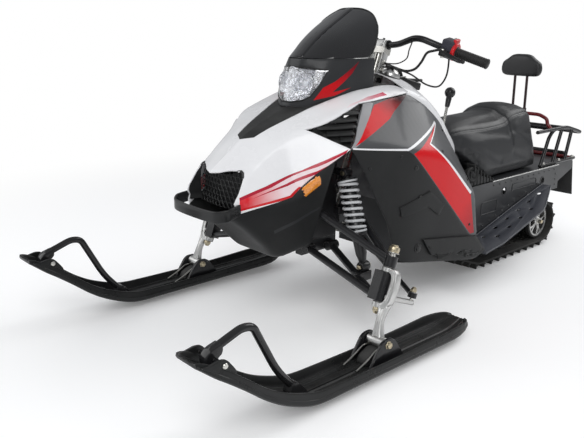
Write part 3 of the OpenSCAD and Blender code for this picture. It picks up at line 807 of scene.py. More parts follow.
# painted and moulded panels
paint = {
    "white": ((0.82, 0.82, 0.83), (0.77, 0.77, 0.785)),
    "grey": ((0.066, 0.068, 0.073), (0.054, 0.056, 0.060)),
    "black": ((0.009, 0.0095, 0.010), (0.014, 0.0145, 0.015)),
    "red": ((0.62, 0.012, 0.016), (0.50, 0.008, 0.012)),
    "crimson": ((0.46, 0.012, 0.035), (0.38, 0.010, 0.03)),
}


def fadePaint(name, first, second, low, high, lowColor, highColor, roughness=0.22):
    # colour that runs from lowColor at depth low to highColor at depth high
    material, tree, shader = surface(
        name, Roughness=roughness, Specular_IOR_Level=0.16, Coat_Weight=0.08, Coat_Roughness=0.06
    )
    place = objectPlace(tree)
    split = addNode(tree, "ShaderNodeSeparateXYZ", [(0, place)])
    depth = addMath(tree, "MULTIPLY", split.outputs[first], second)
    along = addMath(tree, "ADD", depth.outputs[0], split.outputs["Y"])
    fade = addRamp(tree, along.outputs[0], low, high)
    cloudy = addNoise(tree, place, 45.0, 5.0)
    mixed = addNode(
        tree, "ShaderNodeMath", [(0, cloudy.outputs["Fac"]), (1, 0.22), (2, -0.11)], operation="MULTIPLY_ADD"
    )
    total = addNode(
        tree, "ShaderNodeMath", [(0, fade.outputs[0]), (1, mixed.outputs[0])], operation="ADD", use_clamp=True
    )
    tree.links.new(blendColors(tree, total.outputs[0], lowColor, highColor), shader.inputs["Base Color"])
    return material


finish = {
    "white": plastic("whiteGloss", *paint["white"], 0.24, 300.0, 0.02, 0.06, 0.7, 0.0),
    "grey": plastic("greySatin", *paint["grey"], 0.34, 700.0, 0.05, 0.10, 0.35),
    "black": plastic("blackMoulded", *paint["black"], 0.46, 1000.0, 0.22, 0.10),
    "blackSmooth": plastic("blackSatin", *paint["black"], 0.30, 700.0, 0.05, 0.08, 0.2),
    "red": plastic("redGloss", *paint["red"], 0.24, 300.0, 0.02, 0.05, 0.6, 0.0),
    "crimson": plastic("crimsonGloss", *paint["crimson"], 0.24, 300.0, 0.02, 0.05, 0.6, 0.0),
    "outline": plastic("whiteOutline", *paint["white"], 0.26, 300.0, 0.02, 0.05, 0.6, 0.0),
    "lightGrey": plastic(
        "lightGreyEdge", (0.30, 0.30, 0.31), (0.26, 0.26, 0.27), 0.32, 700.0, 0.04, 0.05, 0.3
    ),
}
finish["cowl"] = plastic(
    "cowlGrey", (0.026, 0.027, 0.029), (0.020, 0.021, 0.023), 0.36, 700.0, 0.06, 0.05, 0.2
)
finish["noseFade"] = fadePaint(
    "noseFade", "Z", 0.0, at(0, -215, 0).y, at(0, -110, 0).y, (0.66, 0.02, 0.03), (0.80, 0.66, 0.68)
)
finish["tailFade"] = fadePaint(
    "tailFade", "Z", 0.0, at(0, 150, 0).y, at(0, 300, 0).y, (0.80, 0.70, 0.72), (0.52, 0.03, 0.08)
)
finish["wedgeFade"] = fadePaint(
    "wedgeFade", "Z", 1.0, at(0, 240, 730).y + 0.73, at(0, 350, 770).y + 0.77, (0.58, 0.008, 0.012), (
        0.045, 0.022, 0.024
    )
)
finish["flankFade"] = fadePaint(
    "flankFade", "Z", -1.1, at(0, 600, 0).y - 0.43, at(0, 690, 0).y - 0.26, (
        0.60, 0.008, 0.012
    ), (0.26, 0.008, 0.016)
)

hoodView = RoundView(bodyTree, (-262, 490), (430, 560))
sideView = SideView(bodyTree)

hoodPlan = {
    "lowEdge": [(-262, 447), (-91, 497), (-19, 569), (66, 637)],
    "ventTip": (-14, 691),
    "topEdge": [(184, 759), (300, 769), (430, 778)],
    "dart": [(0, -136), (42, -112), (68, -20), (96, 85), (122, 171), (150, 284), (150, 404)],
    "band": [
        (-240, 467), (-240, 507), (-159, 532), (-52, 574), (19, 615), (61, 637), (45, 615), (-20, 563),
        (-94, 499),
    ],
    "topLine": [
        (-240, 498), (-240, 507), (-159, 532), (-52, 574), (19, 615), (61, 637), (52, 625), (-19, 584),
        (-143, 528),
    ],
    "midLine": [
        (-205, 500), (-96, 537), (-20, 573), (58, 622), (46, 611), (-2, 575), (-30, 560), (-52, 549),
        (-96, 530),
    ],
    "lowLine": [(-240, 463), (-94, 494), (-62, 526), (-68, 527), (-97, 502), (-240, 470)],
    "tailPatch": [(134, 746), (162, 757), (233, 775), (306, 785), (312, 776), (276, 773), (191, 762)],
}


def side(points, step=10, closed=True, tree=None):
    return [onSide(y, z, tree) for y, z in walk(points, closed, step)]


def top(points, step=10, closed=True, tree=None):
    return [onTop(x, y, tree) for x, y in walk(points, closed, step)]


def fillet(points, radius, steps=4):
    # rounds every corner of a closed outline
    out = []
    for k, p in enumerate(points):
        a, b = Vector(points[k - 1]), Vector(points[(k + 1) % len(points)])
        p = Vector(p)
        r = min(radius, (a - p).length * 0.45, (b - p).length * 0.45)
        s, e = p + (a - p).normalized() * r, p + (b - p).normalized() * r
        out += [
            tuple(s * (1 - t) ** 2 + p * 2 * t * (1 - t) + e * t * t)
            for t in [i / steps for i in range(steps + 1)]
        ]
    return out


def noseOpening():
    # the white lip round the grille, as points on the surface from the middle out and down
    shape = [(0, -254), (30, -243), (62, -222), (96, -204)]
    upper = [onTop(x, y) for x, y in walk(shape, False, 8)]
    drop = [
        (-204, 576), (-216, 556), (-238, 520), (-250, 503), (-256, 488), (-250, 474), (-258, 462), (-262, 447)
    ]
    return upper + [onSide(y, z) for y, z in walk(drop, False, 8)][1:]


print("hood")
p = hoodPlan
hoodOutline = noseOpening()
hoodOutline += side(p["lowEdge"], 9, False)[1:]
hoodOutline += side([p["lowEdge"][-1], p["ventTip"]] + p["topEdge"], 9, False)[1:]
hoodOutline += top([(196, 430), (152, 430), (150, 404)], 9, False)[1:]
hoodOutline += top(list(reversed(p["dart"])), 9, False)[1:]
hood = skin(
    "hoodPanel",
    hoodView,
    hoodOutline,
    [finish[k] for k in ("white", "noseFade", "crimson", "red", "tailFade")],
    "chassis",
    areas=[
        (side(p["band"], 12), 1),
        (side(p["topLine"], 12), 2),
        (side(p["midLine"], 12), 2),
        (side(p["lowLine"], 12), 3),
        (side(p["tailPatch"], 12), 4),
    ],
    wall=4.0,
    bevel=1.4,
)
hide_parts("hood")


# cowl, headlight and windshield
print("cowl")
cowlPlan = {
    "axis": 262,
    "pod": [
        (738, [(0, 50), (22, 51), (74, 82), (118, 166), (144, 278), (140, 345)]),
        (790, [(0, 64), (24, 66), (84, 96), (127, 180), (146, 280), (142, 345)]),
        (845, [(0, 82), (27, 84), (93, 122), (136, 208), (147, 285), (142, 345)]),
        (893, [(0, 98), (30, 98), (92, 150), (139, 240), (146, 290), (142, 345)]),
    ],
    "lampFront": [(0, 757), (22, 757), (58, 764), (78, 776), (94, 812), (104, 858), (40, 866), (0, 867)],
    "flame": [(100, 764), (128, 803), (165, 822), (251, 884), (222, 846), (156, 788), (220, 801), (163, 777)],
    "screen": [
        (893, [(0, 112), (28, 112), (78, 136), (122, 194), (150, 285), (146, 345)]),
        (958, [(0, 190), (30, 192), (84, 216), (128, 268), (156, 350), (150, 378)]),
        (1020, [(0, 296), (26, 299), (76, 314), (124, 360), (140, 380), (136, 384)]),
        (1050, [(0, 349), (20, 351), (44, 356), (66, 372), (72, 378), (70, 380)]),
    ],
}


def ringLines(rows):
    return [[at(r[1][k][0], r[1][k][1], r[0]) for r in rows] for k in range(len(rows[0][1]))]


podTree = shellTree(ringLines(cowlPlan["pod"]), 8, 26)
podView = TurretView(podTree, cowlPlan["axis"])


def onPod(x, z, tree=None):
    # a point seen from the front
    return landed(tree or podTree, at(x, -400, z), Vector((0, 0.9, 0)))


def podSide(y, z, tree=None):
    return landed(tree or podTree, at(600, y, z), Vector((-0.9, 0, 0)))


def podLevel(z, last=320, tree=None):
    # half a ring at one height, from the middle back to the depth last
    tree = tree or podTree
    front = [onPod(x, z, tree) for x in np.arange(0, 86, 9)]
    flank = [podSide(y, z, tree) for y in np.arange((front[-1].y - boltY) / mm + 14, last, 12)]
    return front + flank + [podSide(last, z, tree)]


lampEdge = [onPod(x, z) for x, z in walk(cowlPlan["lampFront"], False, 8)]
podHigh = podLevel(892, 320)
podBack = [podSide(320, z) for z in (880, 840, 800, 765, 750)]
podLowRun = podLevel(742, 320)
podOutline = podLowRun + list(reversed(podBack)) + list(reversed(podHigh)) + list(reversed(lampEdge))
flame = [podSide(y, z) for y, z in walk(cowlPlan["flame"], True, 7)]
finish["flameFade"] = fadePaint(
    "flameFade", "Z", 0.9, at(0, 175, 0).y + 0.9 * 0.80, at(0, 235, 0).y + 0.9 * 0.86, (0.50, 0.006, 0.010),
    (0.16, 0.008, 0.014),
)
pod = skin(
    "cowlPod", podView, podOutline, [finish["cowl"], finish["flameFade"]], "chassis", areas=[(flame, 1)],
    grid=9, wall=3.5, bevel=1.2,
)
dart = [onTop(0, y) for y in np.arange(396, -130, -9)] + top(hoodPlan["dart"], 9, False)
dart += [onTop(x, 404) for x in np.arange(141, 8, -9)]
inset = skin(
    "cowlDart", hoodView, dart, [finish["black"]], "chassis", grid=10, wall=3.5, lift=-1.6, bevel=0.8
)
deck = prism(
    "cowlDeck",
    [
        (x, y)
        for x, y in [
            (-138, 322), (-134, 240), (-88, 158), (-28, 108), (28, 108), (88, 158), (134, 240), (138, 322)
        ]
    ],
    "z", 882, 886, finish["black"], "chassis", 1.5,
)
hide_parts("headlight_cowl")

print("headlight")
lampGlass, tree, shader = surface(
    "lampGlass", Base_Color=(
        0.97, 0.98, 1.0
    ), Roughness=0.03, Transmission_Weight=1.0, IOR=1.46, Specular_IOR_Level=0.6
)
place = objectPlace(tree)
ripple = addNoise(tree, place, 60.0, 2.0)
roughen(tree, shader, ripple.outputs["Fac"], 0.25, 0.001)
facetChromePaintedGlow, tree, shader = surface("facetChromePaintedGlow", Metallic=0.85, Roughness=0.24)
place = objectPlace(tree)
flats = addNode(tree, "ShaderNodeTexVoronoi", [("Vector", place), ("Scale", 95.0)])
fine = addNode(tree, "ShaderNodeTexVoronoi", [("Vector", place), ("Scale", 210.0)])
tone = addNode(tree, "ShaderNodeSeparateColor", [(0, flats.outputs["Color"])]).outputs[0]
tree.links.new(
    blendColors(tree, spread(tree, tone, 0.0, 1.0, 0.0, 1.0), (0.42, 0.43, 0.46), (0.96, 0.96, 0.97)),
    shader.inputs["Base Color"],
)
heights = addMath(tree, "ADD", flats.outputs["Distance"], fine.outputs["Distance"])
roughen(tree, shader, heights.outputs[0], 0.9, 0.006)
# painted glow: the reflector gives off a faint bluish light of its own
shader.inputs["Emission Color"].default_value = (0.9, 0.93, 1.0, 1)
shader.inputs["Emission Strength"].default_value = 0.05

lampRim = skin("lampLens", podView, lampEdge, [lampGlass], "chassis", grid=7, wall=2.4, lift=0.8, bevel=0.8)
back = [onPod(x * 0.97, (z - 812) * 0.95 + 812) for x, z in walk(cowlPlan["lampFront"], False, 8)]
mirror = skin("lampReflector", podView, back, [facetChromePaintedGlow], "chassis", grid=7, wall=2.0, lift=-16, bevel=0)
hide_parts("headlight")
bulbGlow, tree, shader = surface(
    "bulbGlass", Base_Color=(0.95, 0.96, 1.0), Roughness=0.08, Specular_IOR_Level=0.7
)
waves = addNode(tree, "ShaderNodeTexNoise", [("Vector", objectPlace(tree)), ("Scale", 120.0)])
tree.links.new(spread(tree, waves.outputs["Fac"], 0.05, 0.14), shader.inputs["Roughness"])
for sign in (-1, 1):
    seat = onPod(46, 812)
    seat.x *= sign
    bowl = turned(
        "lampBowl", seat + Vector((0, 0.030, 0)), (sign * 0.12, -1, 0.1),
        [(0.01, 0), (14, 2), (24, 7), (31, 14), (34, 20), (36, 20), (36, 17), (30, 6), (12, -2), (0.01, -2)],
        facetChromePaintedGlow, "chassis", 28,
    )
    bulb = turned(
        "lampBulb", seat + Vector((0, 0.030, 0)), (sign * 0.12, -1, 0.1),
        [(6, 0), (6, 9), (5, 13), (3, 16), (0.01, 17)], bulbGlow, "chassis", 16,
    )
surround = tube(
    "lampGasket",
    [*mirrored(list(reversed(lampEdge[:-2]))), *lampEdge[1:-1]],
    2.6, finish["blackSmooth"], "chassis", 8,
)

print("windshield")
screenTree = shellTree(ringLines(cowlPlan["screen"]), 8, 24)
screenView = TurretView(screenTree, 430)
smoked, tree, shader = surface(
    "smokedScreen", Roughness=0.07, Coat_Weight=0.5, Coat_Roughness=0.03, Specular_IOR_Level=0.55
)
place = objectPlace(tree)
high = addNode(tree, "ShaderNodeSeparateXYZ", [(0, place)]).outputs["Z"]
cloud = addNoise(tree, place, 5.0, 3.0)
level = addRamp(tree, high, 0.89, 1.05)
mixed = addMath(tree, "MULTIPLY", level.outputs[0], cloud.outputs["Fac"])
tree.links.new(
    blendColors(tree, mixed.outputs[0], (0.010, 0.010, 0.011), (0.036, 0.037, 0.040)),
    shader.inputs["Base Color"],
)
screenLow = podLevel(893.5, 290, screenTree)
screenBack = [
    podSide(y, z, screenTree) for y, z in [(300, 905), (322, 930), (345, 955), (358, 980), (370, 1004)]
]
screenTop = [
    landed(screenTree, at(x, -400, z), Vector((0, 0.9, 0)))
    for x, z in walk([(126, 1006), (106, 1027), (74, 1043), (36, 1049), (0, 1050)], False, 9)
]
edge = screenBack[:-1] + screenTop
for smoothing in range(14):
    edge = edge[:1] + [
        edge[k - 1] * 0.25 + edge[k] * 0.5 + edge[k + 1] * 0.25 for k in range(1, len(edge) - 1)
    ] + edge[-1:]
edge = edge[:1] + [screenTree.find_nearest(p)[0] for p in edge[1:-1]] + edge[-1:]
screenOutline = screenLow + edge
screen = skin("screenPanel", screenView, screenOutline, [smoked], "chassis", grid=10, wall=3.0, bevel=1.2)
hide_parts("windshield")
rib = [landed(screenTree, at(0, -400, z), Vector((0, 0.9, 0))) for z in range(896, 1049, 8)]
ridge = newPiece(
    "screenRidge",
    *sweep(
        [p + Vector((0, 0.0005, 0)) for p in rib],
        [(-0.016, 0), (-0.011, 0.0042), (0.011, 0.0042), (0.016, 0), (0.011, -0.0042), (-0.011, -0.0042)],
    ),
    smoked, "chassis", 0.8, 40,
)
trim = tube("screenEdge", edge + mirrored(list(reversed(edge)))[1:], 2.4, finish["blackSmooth"], "chassis", 8)


# side panels, lower covers and belly pan
print("sides")
belt = [(66, 636), (263, 616), (285, 604), (655, 252), (692, 250)]
sidePlan = {
    "outline": [
        (194, 758), (402, 772), (420, 768), (492, 730), (572, 668), (590, 600), (657, 410), (693, 262),
        (692, 251),
    ]
    + list(reversed(belt[:-1]))
    + [(74, 648), (120, 694), (158, 732)],
    "edgeStrip": [(68, 640), (80, 640), (135, 676), (232, 757), (222, 760), (194, 757), (120, 693)],
    "wedge": [(80, 645), (232, 752), (318, 767), (408, 771), (300, 728), (262, 709), (128, 664)],
    "lineUpper": [(72, 634), (266, 615), (517, 671), (514, 678), (266, 622), (72, 640)],
    "lineLower": [(519, 676), (511, 670), (391, 621), (628, 416), (636, 422), (402, 622), (517, 668)],
    "band": [(290, 603), (470, 658), (505, 668), (394, 620), (632, 412), (676, 262), (652, 262), (620, 292)],
}
sidePanel = skin(
    "sidePanels",
    sideView,
    side(sidePlan["outline"], 9),
    [finish[k] for k in ("grey", "lightGrey", "wedgeFade", "outline", "flankFade")],
    "chassis",
    areas=[
        (side(sidePlan["edgeStrip"], 9), 1),
        (side(sidePlan["wedge"], 9), 2),
        (side(sidePlan["band"], 9), 4),
        (side(sidePlan["lineUpper"], 9), 3),
        (side(sidePlan["lineLower"], 9), 3),
    ],
    wall=4.0,
    bevel=1.4,
)
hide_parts("side_panel_left", "side_panel_right")

def surfaceNormal(tree, p):
    near = tree.find_nearest(p)
    n = near[1]
    return n if n.x * p.x > 0 or abs(p.x) < 1e-4 else -n


coverPlan = {
    "outline": [(y, z - 1) for y, z in belt] + [
        (735, 205), (763, 174), (694, 152), (500, 190), (274, 234), (238, 312), (210, 390), (160, 475),
        (121, 551),
    ],
    "box": [(372, 298), (540, 273), (676, 250), (722, 206), (735, 184), (690, 181), (560, 206), (425, 232)],
    "fold": [(252, 430), (388, 467), (470, 404), (446, 372), (384, 412), (264, 396)],
}
cover = skin(
    "lowerCovers",
    sideView,
    side(coverPlan["outline"], 11),
    [finish["black"], finish["blackSmooth"]],
    "chassis",
    wall=4.0,
    bevel=1.2,
    grid=12,
)
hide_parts("lower_cover_left", "lower_cover_right")
raised = []
for key, lift in (("box", 9.0), ("fold", 4.0)):
    raised.append(
        skin(
            "cover" + key.title(), sideView, side(coverPlan[key], 8), [finish["black"]], "chassis",
            wall=lift + 1.0, lift=lift, bevel=2.2, grid=12,
        )
    )
coverBolt = [(0.01, -3), (17, -3), (17.5, 1), (15, 2.4), (11, 1.8), (11, 3.2), (9, 5.4), (0.01, 6)]
boltSpot = onSide(355, 271)
for flip in (1, -1):
    spot = Vector((boltSpot.x * flip, boltSpot.y, boltSpot.z))
    raised.append(
        turned(
            "coverBolt", spot, surfaceNormal(bodyTree, spot), coverBolt, finish["blackSmooth"], "chassis", 36,
            0.4,
        )
    )
raised = joinPieces("coverRelief", raised)


def screwAt(name, p, normal, radius, material, body, sides=24):
    head = [
        (0.01, 1.0), (radius * 0.38, 1.0), (radius * 0.45, 2.0), (radius * 0.8, 1.8), (radius, 0.8),
        (radius, -1.0), (0.01, -1.0),
    ]
    return turned(name, p, normal, head, material, body, sides, 0.2)


screws = []
for y, z, radius in [
    (306, 556, 9), (131, 570, 5), (356, 273, 5), (640, 300, 5), (560, 640, 5), (455, 590, 5), (612, 470, 5),
    (238, 600, 5),
]:
    p = onSide(y, z)
    for sign in (1, -1):
        q = Vector((p.x * sign, p.y, p.z))
        n = surfaceNormal(bodyTree, q)
        screws.append(screwAt("panelScrew", q + n * 0.0004, n, radius, finish["blackSmooth"], "chassis"))
panelScrews = joinPieces("panelScrews", screws)

bellyLow = [(-262, 446), (-91, 496), (-19, 568), (24, 604)]
bellyOutline = side(bellyLow, 9, False) + side([(24, 596), (24, 420), (24, 306)], 9, False)
under = [
    landed(bodyTree, at(x, 24, 0), Vector((0, 0, 0.9))) for x in np.arange(148, 0, -12)
] + [landed(bodyTree, at(0, 24, 0), Vector((0, 0, 0.9)))]
keel = [landed(bodyTree, at(0, y, 0), Vector((0, 0, 0.9))) for y in np.arange(14, -262, -10)]
frontLow = [landed(bodyTree, at(x, -261, 0), Vector((0, 0, 0.9))) for x in np.arange(0, 108, 10)]
# painted highlight: a lighter grey strip on the belly pan where its crease catches the light
paintedCreaseHighlight = [(-118, 384), (-112, 372), (-46, 402), (16, 442), (20, 452), (-50, 414)]
belly = skin(
    "bellyPan",
    hoodView,
    bellyOutline + under + keel + frontLow,
    [finish["black"], finish["cowl"]],
    "chassis",
    areas=[(side(paintedCreaseHighlight, 9), 1)],
    wall=3.5,
    bevel=1.0,
    grid=12,
)
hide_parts("belly_pan")

print("vents")
behind = skin(
    "ventBacking", sideView,
    side([(62, 640), (-14, 690), (60, 716), (184, 758), (150, 726), (110, 688)], 9),
    [finish["black"]], "chassis", wall=2.0, lift=-26, bevel=0,
)
louvres = [behind]
for z, y0, y1 in [(656, 50, 84), (672, 24, 100), (690, 8, 122), (708, 48, 142), (727, 102, 162)]:
    outer = [onSide(y, z + (y - y0) * 0.02) for y in np.linspace(y0, y1, 8)]
    for sign in (1, -1):
        rows = []
        for p in outer:
            n = surfaceNormal(bodyTree, p)
            n = Vector((n.x, n.y, 0)).normalized()
            a = p - n * 0.005
            b = p - n * 0.026 + Vector((0, 0, 0.010))
            rows.append(
                [
                    Vector((v.x * sign, v.y, v.z))
                    for v in (a, a + Vector((0, 0, 0.0026)), b + Vector((0, 0, 0.0026)), b)
                ]
            )
        verts = [v for r in rows for v in r]
        faces = [
            (i * 4 + k, i * 4 + (k + 1) % 4, i * 4 + 4 + (k + 1) % 4, i * 4 + 4 + k)
            for i in range(7)
            for k in range(4)
        ]
        faces += [(3, 2, 1, 0), (28, 29, 30, 31)]
        louvres.append(newPiece("louvre", verts, faces, finish["blackSmooth"], "chassis", 0.7))
vents = joinPieces("ventLouvres", louvres)
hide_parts("hood_vents")

print("reflectors")
amber, tree, shader = surface("amberLens", Roughness=0.12, Coat_Weight=1.0, Coat_Roughness=0.04)
place = objectPlace(tree)
prisms = addNode(tree, "ShaderNodeTexVoronoi", [("Vector", place), ("Scale", 260.0)], distance="CHEBYCHEV")
tree.links.new(
    blendColors(
        tree,
        spread(tree, prisms.outputs["Distance"], 0.0, 1.0, 0.1, 0.7),
        (0.85, 0.30, 0.02), (0.62, 0.19, 0.01),
    ),
    shader.inputs["Base Color"],
)
roughen(tree, shader, prisms.outputs["Distance"], 0.5, 0.001)
reflectorPlan = [(-60, 524), (-51, 497), (-7, 532), (-17, 560)]
frames = skin(
    "reflectorFrame", sideView,
    side([(-64, 525), (-53, 492), (-2, 531), (-15, 566)], 6),
    [finish["blackSmooth"]], "chassis", wall=3.0, lift=2.0, bevel=0.8, grid=8,
)
reflectors = skin(
    "sideReflectors", sideView, side(reflectorPlan, 5), [amber], "chassis", wall=3.2, lift=4.4, bevel=1.2,
    grid=7,
)
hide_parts("side_reflectors")


# grille and bumper
print("grille")


def meshGroup(name, inputs):
    group = bpy.data.node_groups.new(name, "GeometryNodeTree")
    group.interface.new_socket("Geometry", in_out="INPUT", socket_type="NodeSocketGeometry")
    for label, kind, value in inputs:
        socket = group.interface.new_socket(label, in_out="INPUT", socket_type=kind)
        if value is not None:
            socket.default_value = value
    group.interface.new_socket("Geometry", in_out="OUTPUT", socket_type="NodeSocketGeometry")
    return group, group.nodes.new("NodeGroupInput"), group.nodes.new("NodeGroupOutput")


def hexMeshGroup():
    # a ring with six sides on every point of the base, then a wire through each
    group, given, out = meshGroup(
        "hexWires",
        [
            ("Radius", "NodeSocketFloat", 0.0105), ("Wire", "NodeSocketFloat", 0.0016),
            ("Material", "NodeSocketMaterial", None),
        ],
    )
    ring = addNode(group, "GeometryNodeMeshCircle", [("Vertices", 6), ("Radius", given.outputs["Radius"])])
    turn = addNode(
        group, "GeometryNodeTransform", [("Geometry", ring.outputs[0]), ("Rotation", (math.pi / 2, 0, 0))]
    )
    placed = addNode(
        group, "GeometryNodeInstanceOnPoints",
        [("Points", given.outputs["Geometry"]), ("Instance", turn.outputs[0])],
    )
    real = addNode(group, "GeometryNodeRealizeInstances", [("Geometry", placed.outputs[0])])
    merged = addNode(
        group, "GeometryNodeMergeByDistance", [("Geometry", real.outputs[0]), ("Distance", 0.0008)]
    )
    line = addNode(group, "GeometryNodeMeshToCurve", [("Mesh", merged.outputs[0])])
    profile = addNode(
        group, "GeometryNodeCurvePrimitiveCircle", [("Resolution", 6), ("Radius", given.outputs["Wire"])]
    )
    wires = addNode(
        group, "GeometryNodeCurveToMesh",
        [("Curve", line.outputs[0]), ("Profile Curve", profile.outputs[0]), ("Fill Caps", True)],
    )
    painted = addNode(
        group, "GeometryNodeSetMaterial",
        [("Geometry", wires.outputs[0]), ("Material", given.outputs["Material"])],
    )
    group.links.new(painted.outputs[0], out.inputs[0])
    return group


def grown(name, base, group, body, **values):
    # runs a node group over a base mesh and keeps the result as a plain mesh
    piece = linked(name, base)
    maker = piece.modifiers.new("maker", "NODES")
    maker.node_group = group
    for item in group.interface.items_tree:
        if item.in_out == "INPUT" and item.name in values:
            maker[item.identifier] = values[item.name]
    applyModifiers(piece)
    shade(piece, 40)
    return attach(piece, body)


grille = {"pitch": 19.0, "radius": 10.6, "wire": 1.5, "depth": -222, "low": 446, "high": 572}
mouth = [
    (-98, 574), (-60, 566), (-30, 556), (0, 552), (30, 556), (60, 566), (98, 574), (104, 540), (108, 500),
    (104, 452), (-104, 452), (-108, 500), (-104, 540),
]
centres = []
for row in range(12):
    for col in range(-8, 9):
        x = col * grille["pitch"] + (row % 2) * grille["pitch"] / 2
        z = grille["low"] + row * grille["pitch"] * 0.866
        if inside((x, z), mouth):
            centres.append(at(x, grille["depth"] + abs(x) * 0.12 + (z - 450) * 0.12, z))
base = bpy.data.meshes.new("grilleCentres")
base.from_pydata([tuple(v) for v in centres], [], [])
wires = grown(
    "grilleMesh", base, hexMeshGroup(), "chassis", Radius=grille["radius"] * mm * 1.03,
    Wire=grille["wire"] * mm, Material=finish["blackSmooth"],
)
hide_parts("nose_grille")
backing = prism("grilleBacking", mouth, "y", -196, -192, finish["black"], "chassis", 0.5)
innerLip = [onTop(x, y) for x, y in walk([(0, -250), (30, -240), (62, -219), (97, -202)], False, 8)] + [
    onSide(y, z)
    for y, z in walk(
        [(-203, 574), (-214, 556), (-236, 520), (-248, 503), (-254, 488), (-250, 474), (-258, 460)], False, 8
    )
]
lipRows = []
for p in innerLip:
    deep = Vector((p.x * 0.94, at(0, -206, 0).y, p.z - 0.003))
    lipRows.append((p, deep))
verts = [v for r in lipRows for v in r]
faces = [(i * 2, i * 2 + 1, i * 2 + 3, i * 2 + 2) for i in range(len(lipRows) - 1)]
count = len(verts)
verts += mirrored(verts)
faces += [tuple(count + k for k in f) for f in faces]
throat = newPiece("grilleThroat", verts, faces, finish["black"], "chassis")
thick = throat.modifiers.new("wall", "SOLIDIFY")
thick.thickness = 2.5 * mm
applyModifiers(throat)
shade(throat, 40)

print("bumper")
bumperPath = [
    (-128, -238, 462), (-134, -270, 457), (-136, -288, 454), (-112, -312, 448), (-60, -316, 446),
    (0, -317, 446), (60, -316, 446), (112, -312, 448), (136, -288, 454), (134, -270, 457), (128, -238, 462),
]
path = roundedPath(ats(bumperPath), 26, 6)
ring = [
    (-0.004, -0.007), (-0.002, -0.010), (0.002, -0.010), (0.004, -0.007), (0.004, 0.019), (0.002, 0.021),
    (-0.002, 0.021), (-0.004, 0.019),
]


def ribbon(path, ring):
    # a sweep whose section stays upright
    verts, faces = [], []
    n = len(ring)
    for i, p in enumerate(path):
        ahead = (path[min(i + 1, len(path) - 1)] - path[max(i - 1, 0)]).normalized()
        out = Vector((-ahead.y, ahead.x, 0)).normalized()
        verts += [p + out * u + Vector((0, 0, v)) for u, v in ring]
    for i in range(len(path) - 1):
        faces += [
            (i * n + k, i * n + (k + 1) % n, (i + 1) * n + (k + 1) % n, (i + 1) * n + k) for k in range(n)
        ]
    faces += [tuple(reversed(range(n))), tuple((len(path) - 1) * n + k for k in range(n))]
    return verts, faces


bumper = newPiece("frontBumper", *ribbon(path, ring), finish["blackSmooth"], "chassis", 0.0, 40)
lip = tube("bumperLip", [p + Vector((0, 0, 0.021)) for p in path], 4.2, finish["blackSmooth"], "chassis", 10)
bumper = joinPieces("frontBumper", [bumper, lip])
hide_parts("front_bumper")


# metals and rubber
finish["steelBlack"] = paintedMetal("blackPowderCoat", (0.009, 0.009, 0.010), (0.014, 0.014, 0.0155), 0.30)
finish["sheet"] = paintedMetal("darkSheet", (0.026, 0.027, 0.030), (0.020, 0.021, 0.023), 0.32, 0.03)
finish["alloy"] = metal(
    "castAlloy", (0.66, 0.66, 0.65), (0.52, 0.52, 0.51), 0.36, (260.0, 260.0, 260.0), 0.22
)
finish["plated"] = metal("platedSteel", (0.66, 0.65, 0.62), (0.55, 0.54, 0.50), 0.26)
finish["zinc"] = metal("yellowZinc", (0.62, 0.54, 0.38), (0.48, 0.42, 0.30), 0.30, rust=1.0)
finish["spring"] = paintedMetal("springGrey", (0.52, 0.53, 0.54), (0.44, 0.45, 0.46), 0.32, 0.02)
finish["engine"] = metal(
    "engineCasting", (0.16, 0.16, 0.165), (0.10, 0.10, 0.105), 0.5, (300.0, 300.0, 300.0), 0.3
)
finish["redTube"] = paintedMetal("redTubePaint", (0.17, 0.012, 0.014), (0.12, 0.010, 0.012), 0.26)
finish["rubber"] = plastic(
    "softRubber", (0.018, 0.018, 0.018), (0.028, 0.028, 0.028), 0.62, 1200.0, 0.2, 0.12
)
finish["trackRubber"] = plastic(
    "trackRubber", (0.015, 0.015, 0.015), (0.026, 0.026, 0.025), 0.66, 700.0, 0.35, 0.14
)
finish["ski"] = plastic(
    "skiPlastic", (0.007, 0.0075, 0.0078), (0.012, 0.0125, 0.013), 0.28, 420.0, 0.10, 0.06, 0.1
)
finish["loop"] = plastic(
    "glossLoop", (0.010, 0.010, 0.011), (0.016, 0.016, 0.017), 0.14, 260.0, 0.03, 0.03, 0.6, 0.0
)

print("suspension")
node = frame["nodes"]


def dress(name, material, width=1.0, angle=35):
    # gives a CAD piece its material and soft edges
    piece = node[name]
    for k in range(max(1, len(piece.material_slots))):
        if len(piece.data.materials) <= k:
            piece.data.materials.append(material)
        piece.material_slots[k].material = material
    if width:
        soft = piece.modifiers.new("softEdges", "BEVEL")
        soft.width = width * mm
        soft.segments = 2
        soft.limit_method = "ANGLE"
        soft.angle_limit = math.radians(angle)
    return piece


for name, key, width in [
    ("front_bulkhead", "steelBlack", 1.0), ("engine", "engine", 4.0), ("recoil_starter", "black", 3.0),
    ("upper_arms", "steelBlack", 0.8), ("lower_arms", "steelBlack", 0.8), (
        "kingpin_blocks", "steelBlack", 1.6
    ),
    ("tie_rod_left", "steelBlack", 0.8),
    ("tie_rod_right", "steelBlack", 0.8), ("steering_post", "plated", 1.2), ("drive_axle", "plated", 1.0),
    (
        "skid_frame", "steelBlack", 1.0
    ), ("tunnel", "sheet", 0.8), ("running_boards", "sheet", 0.6), ("mud_flap", "rubber", 1.0),
]:
    dress(name, finish[key], width)

shock = {
    "top": (224, 112, 548), "low": (316, 106, 262), "coils": 8.5, "wire": 4.6, "radius": 28.2, "start": 25,
    "end": 111,
}


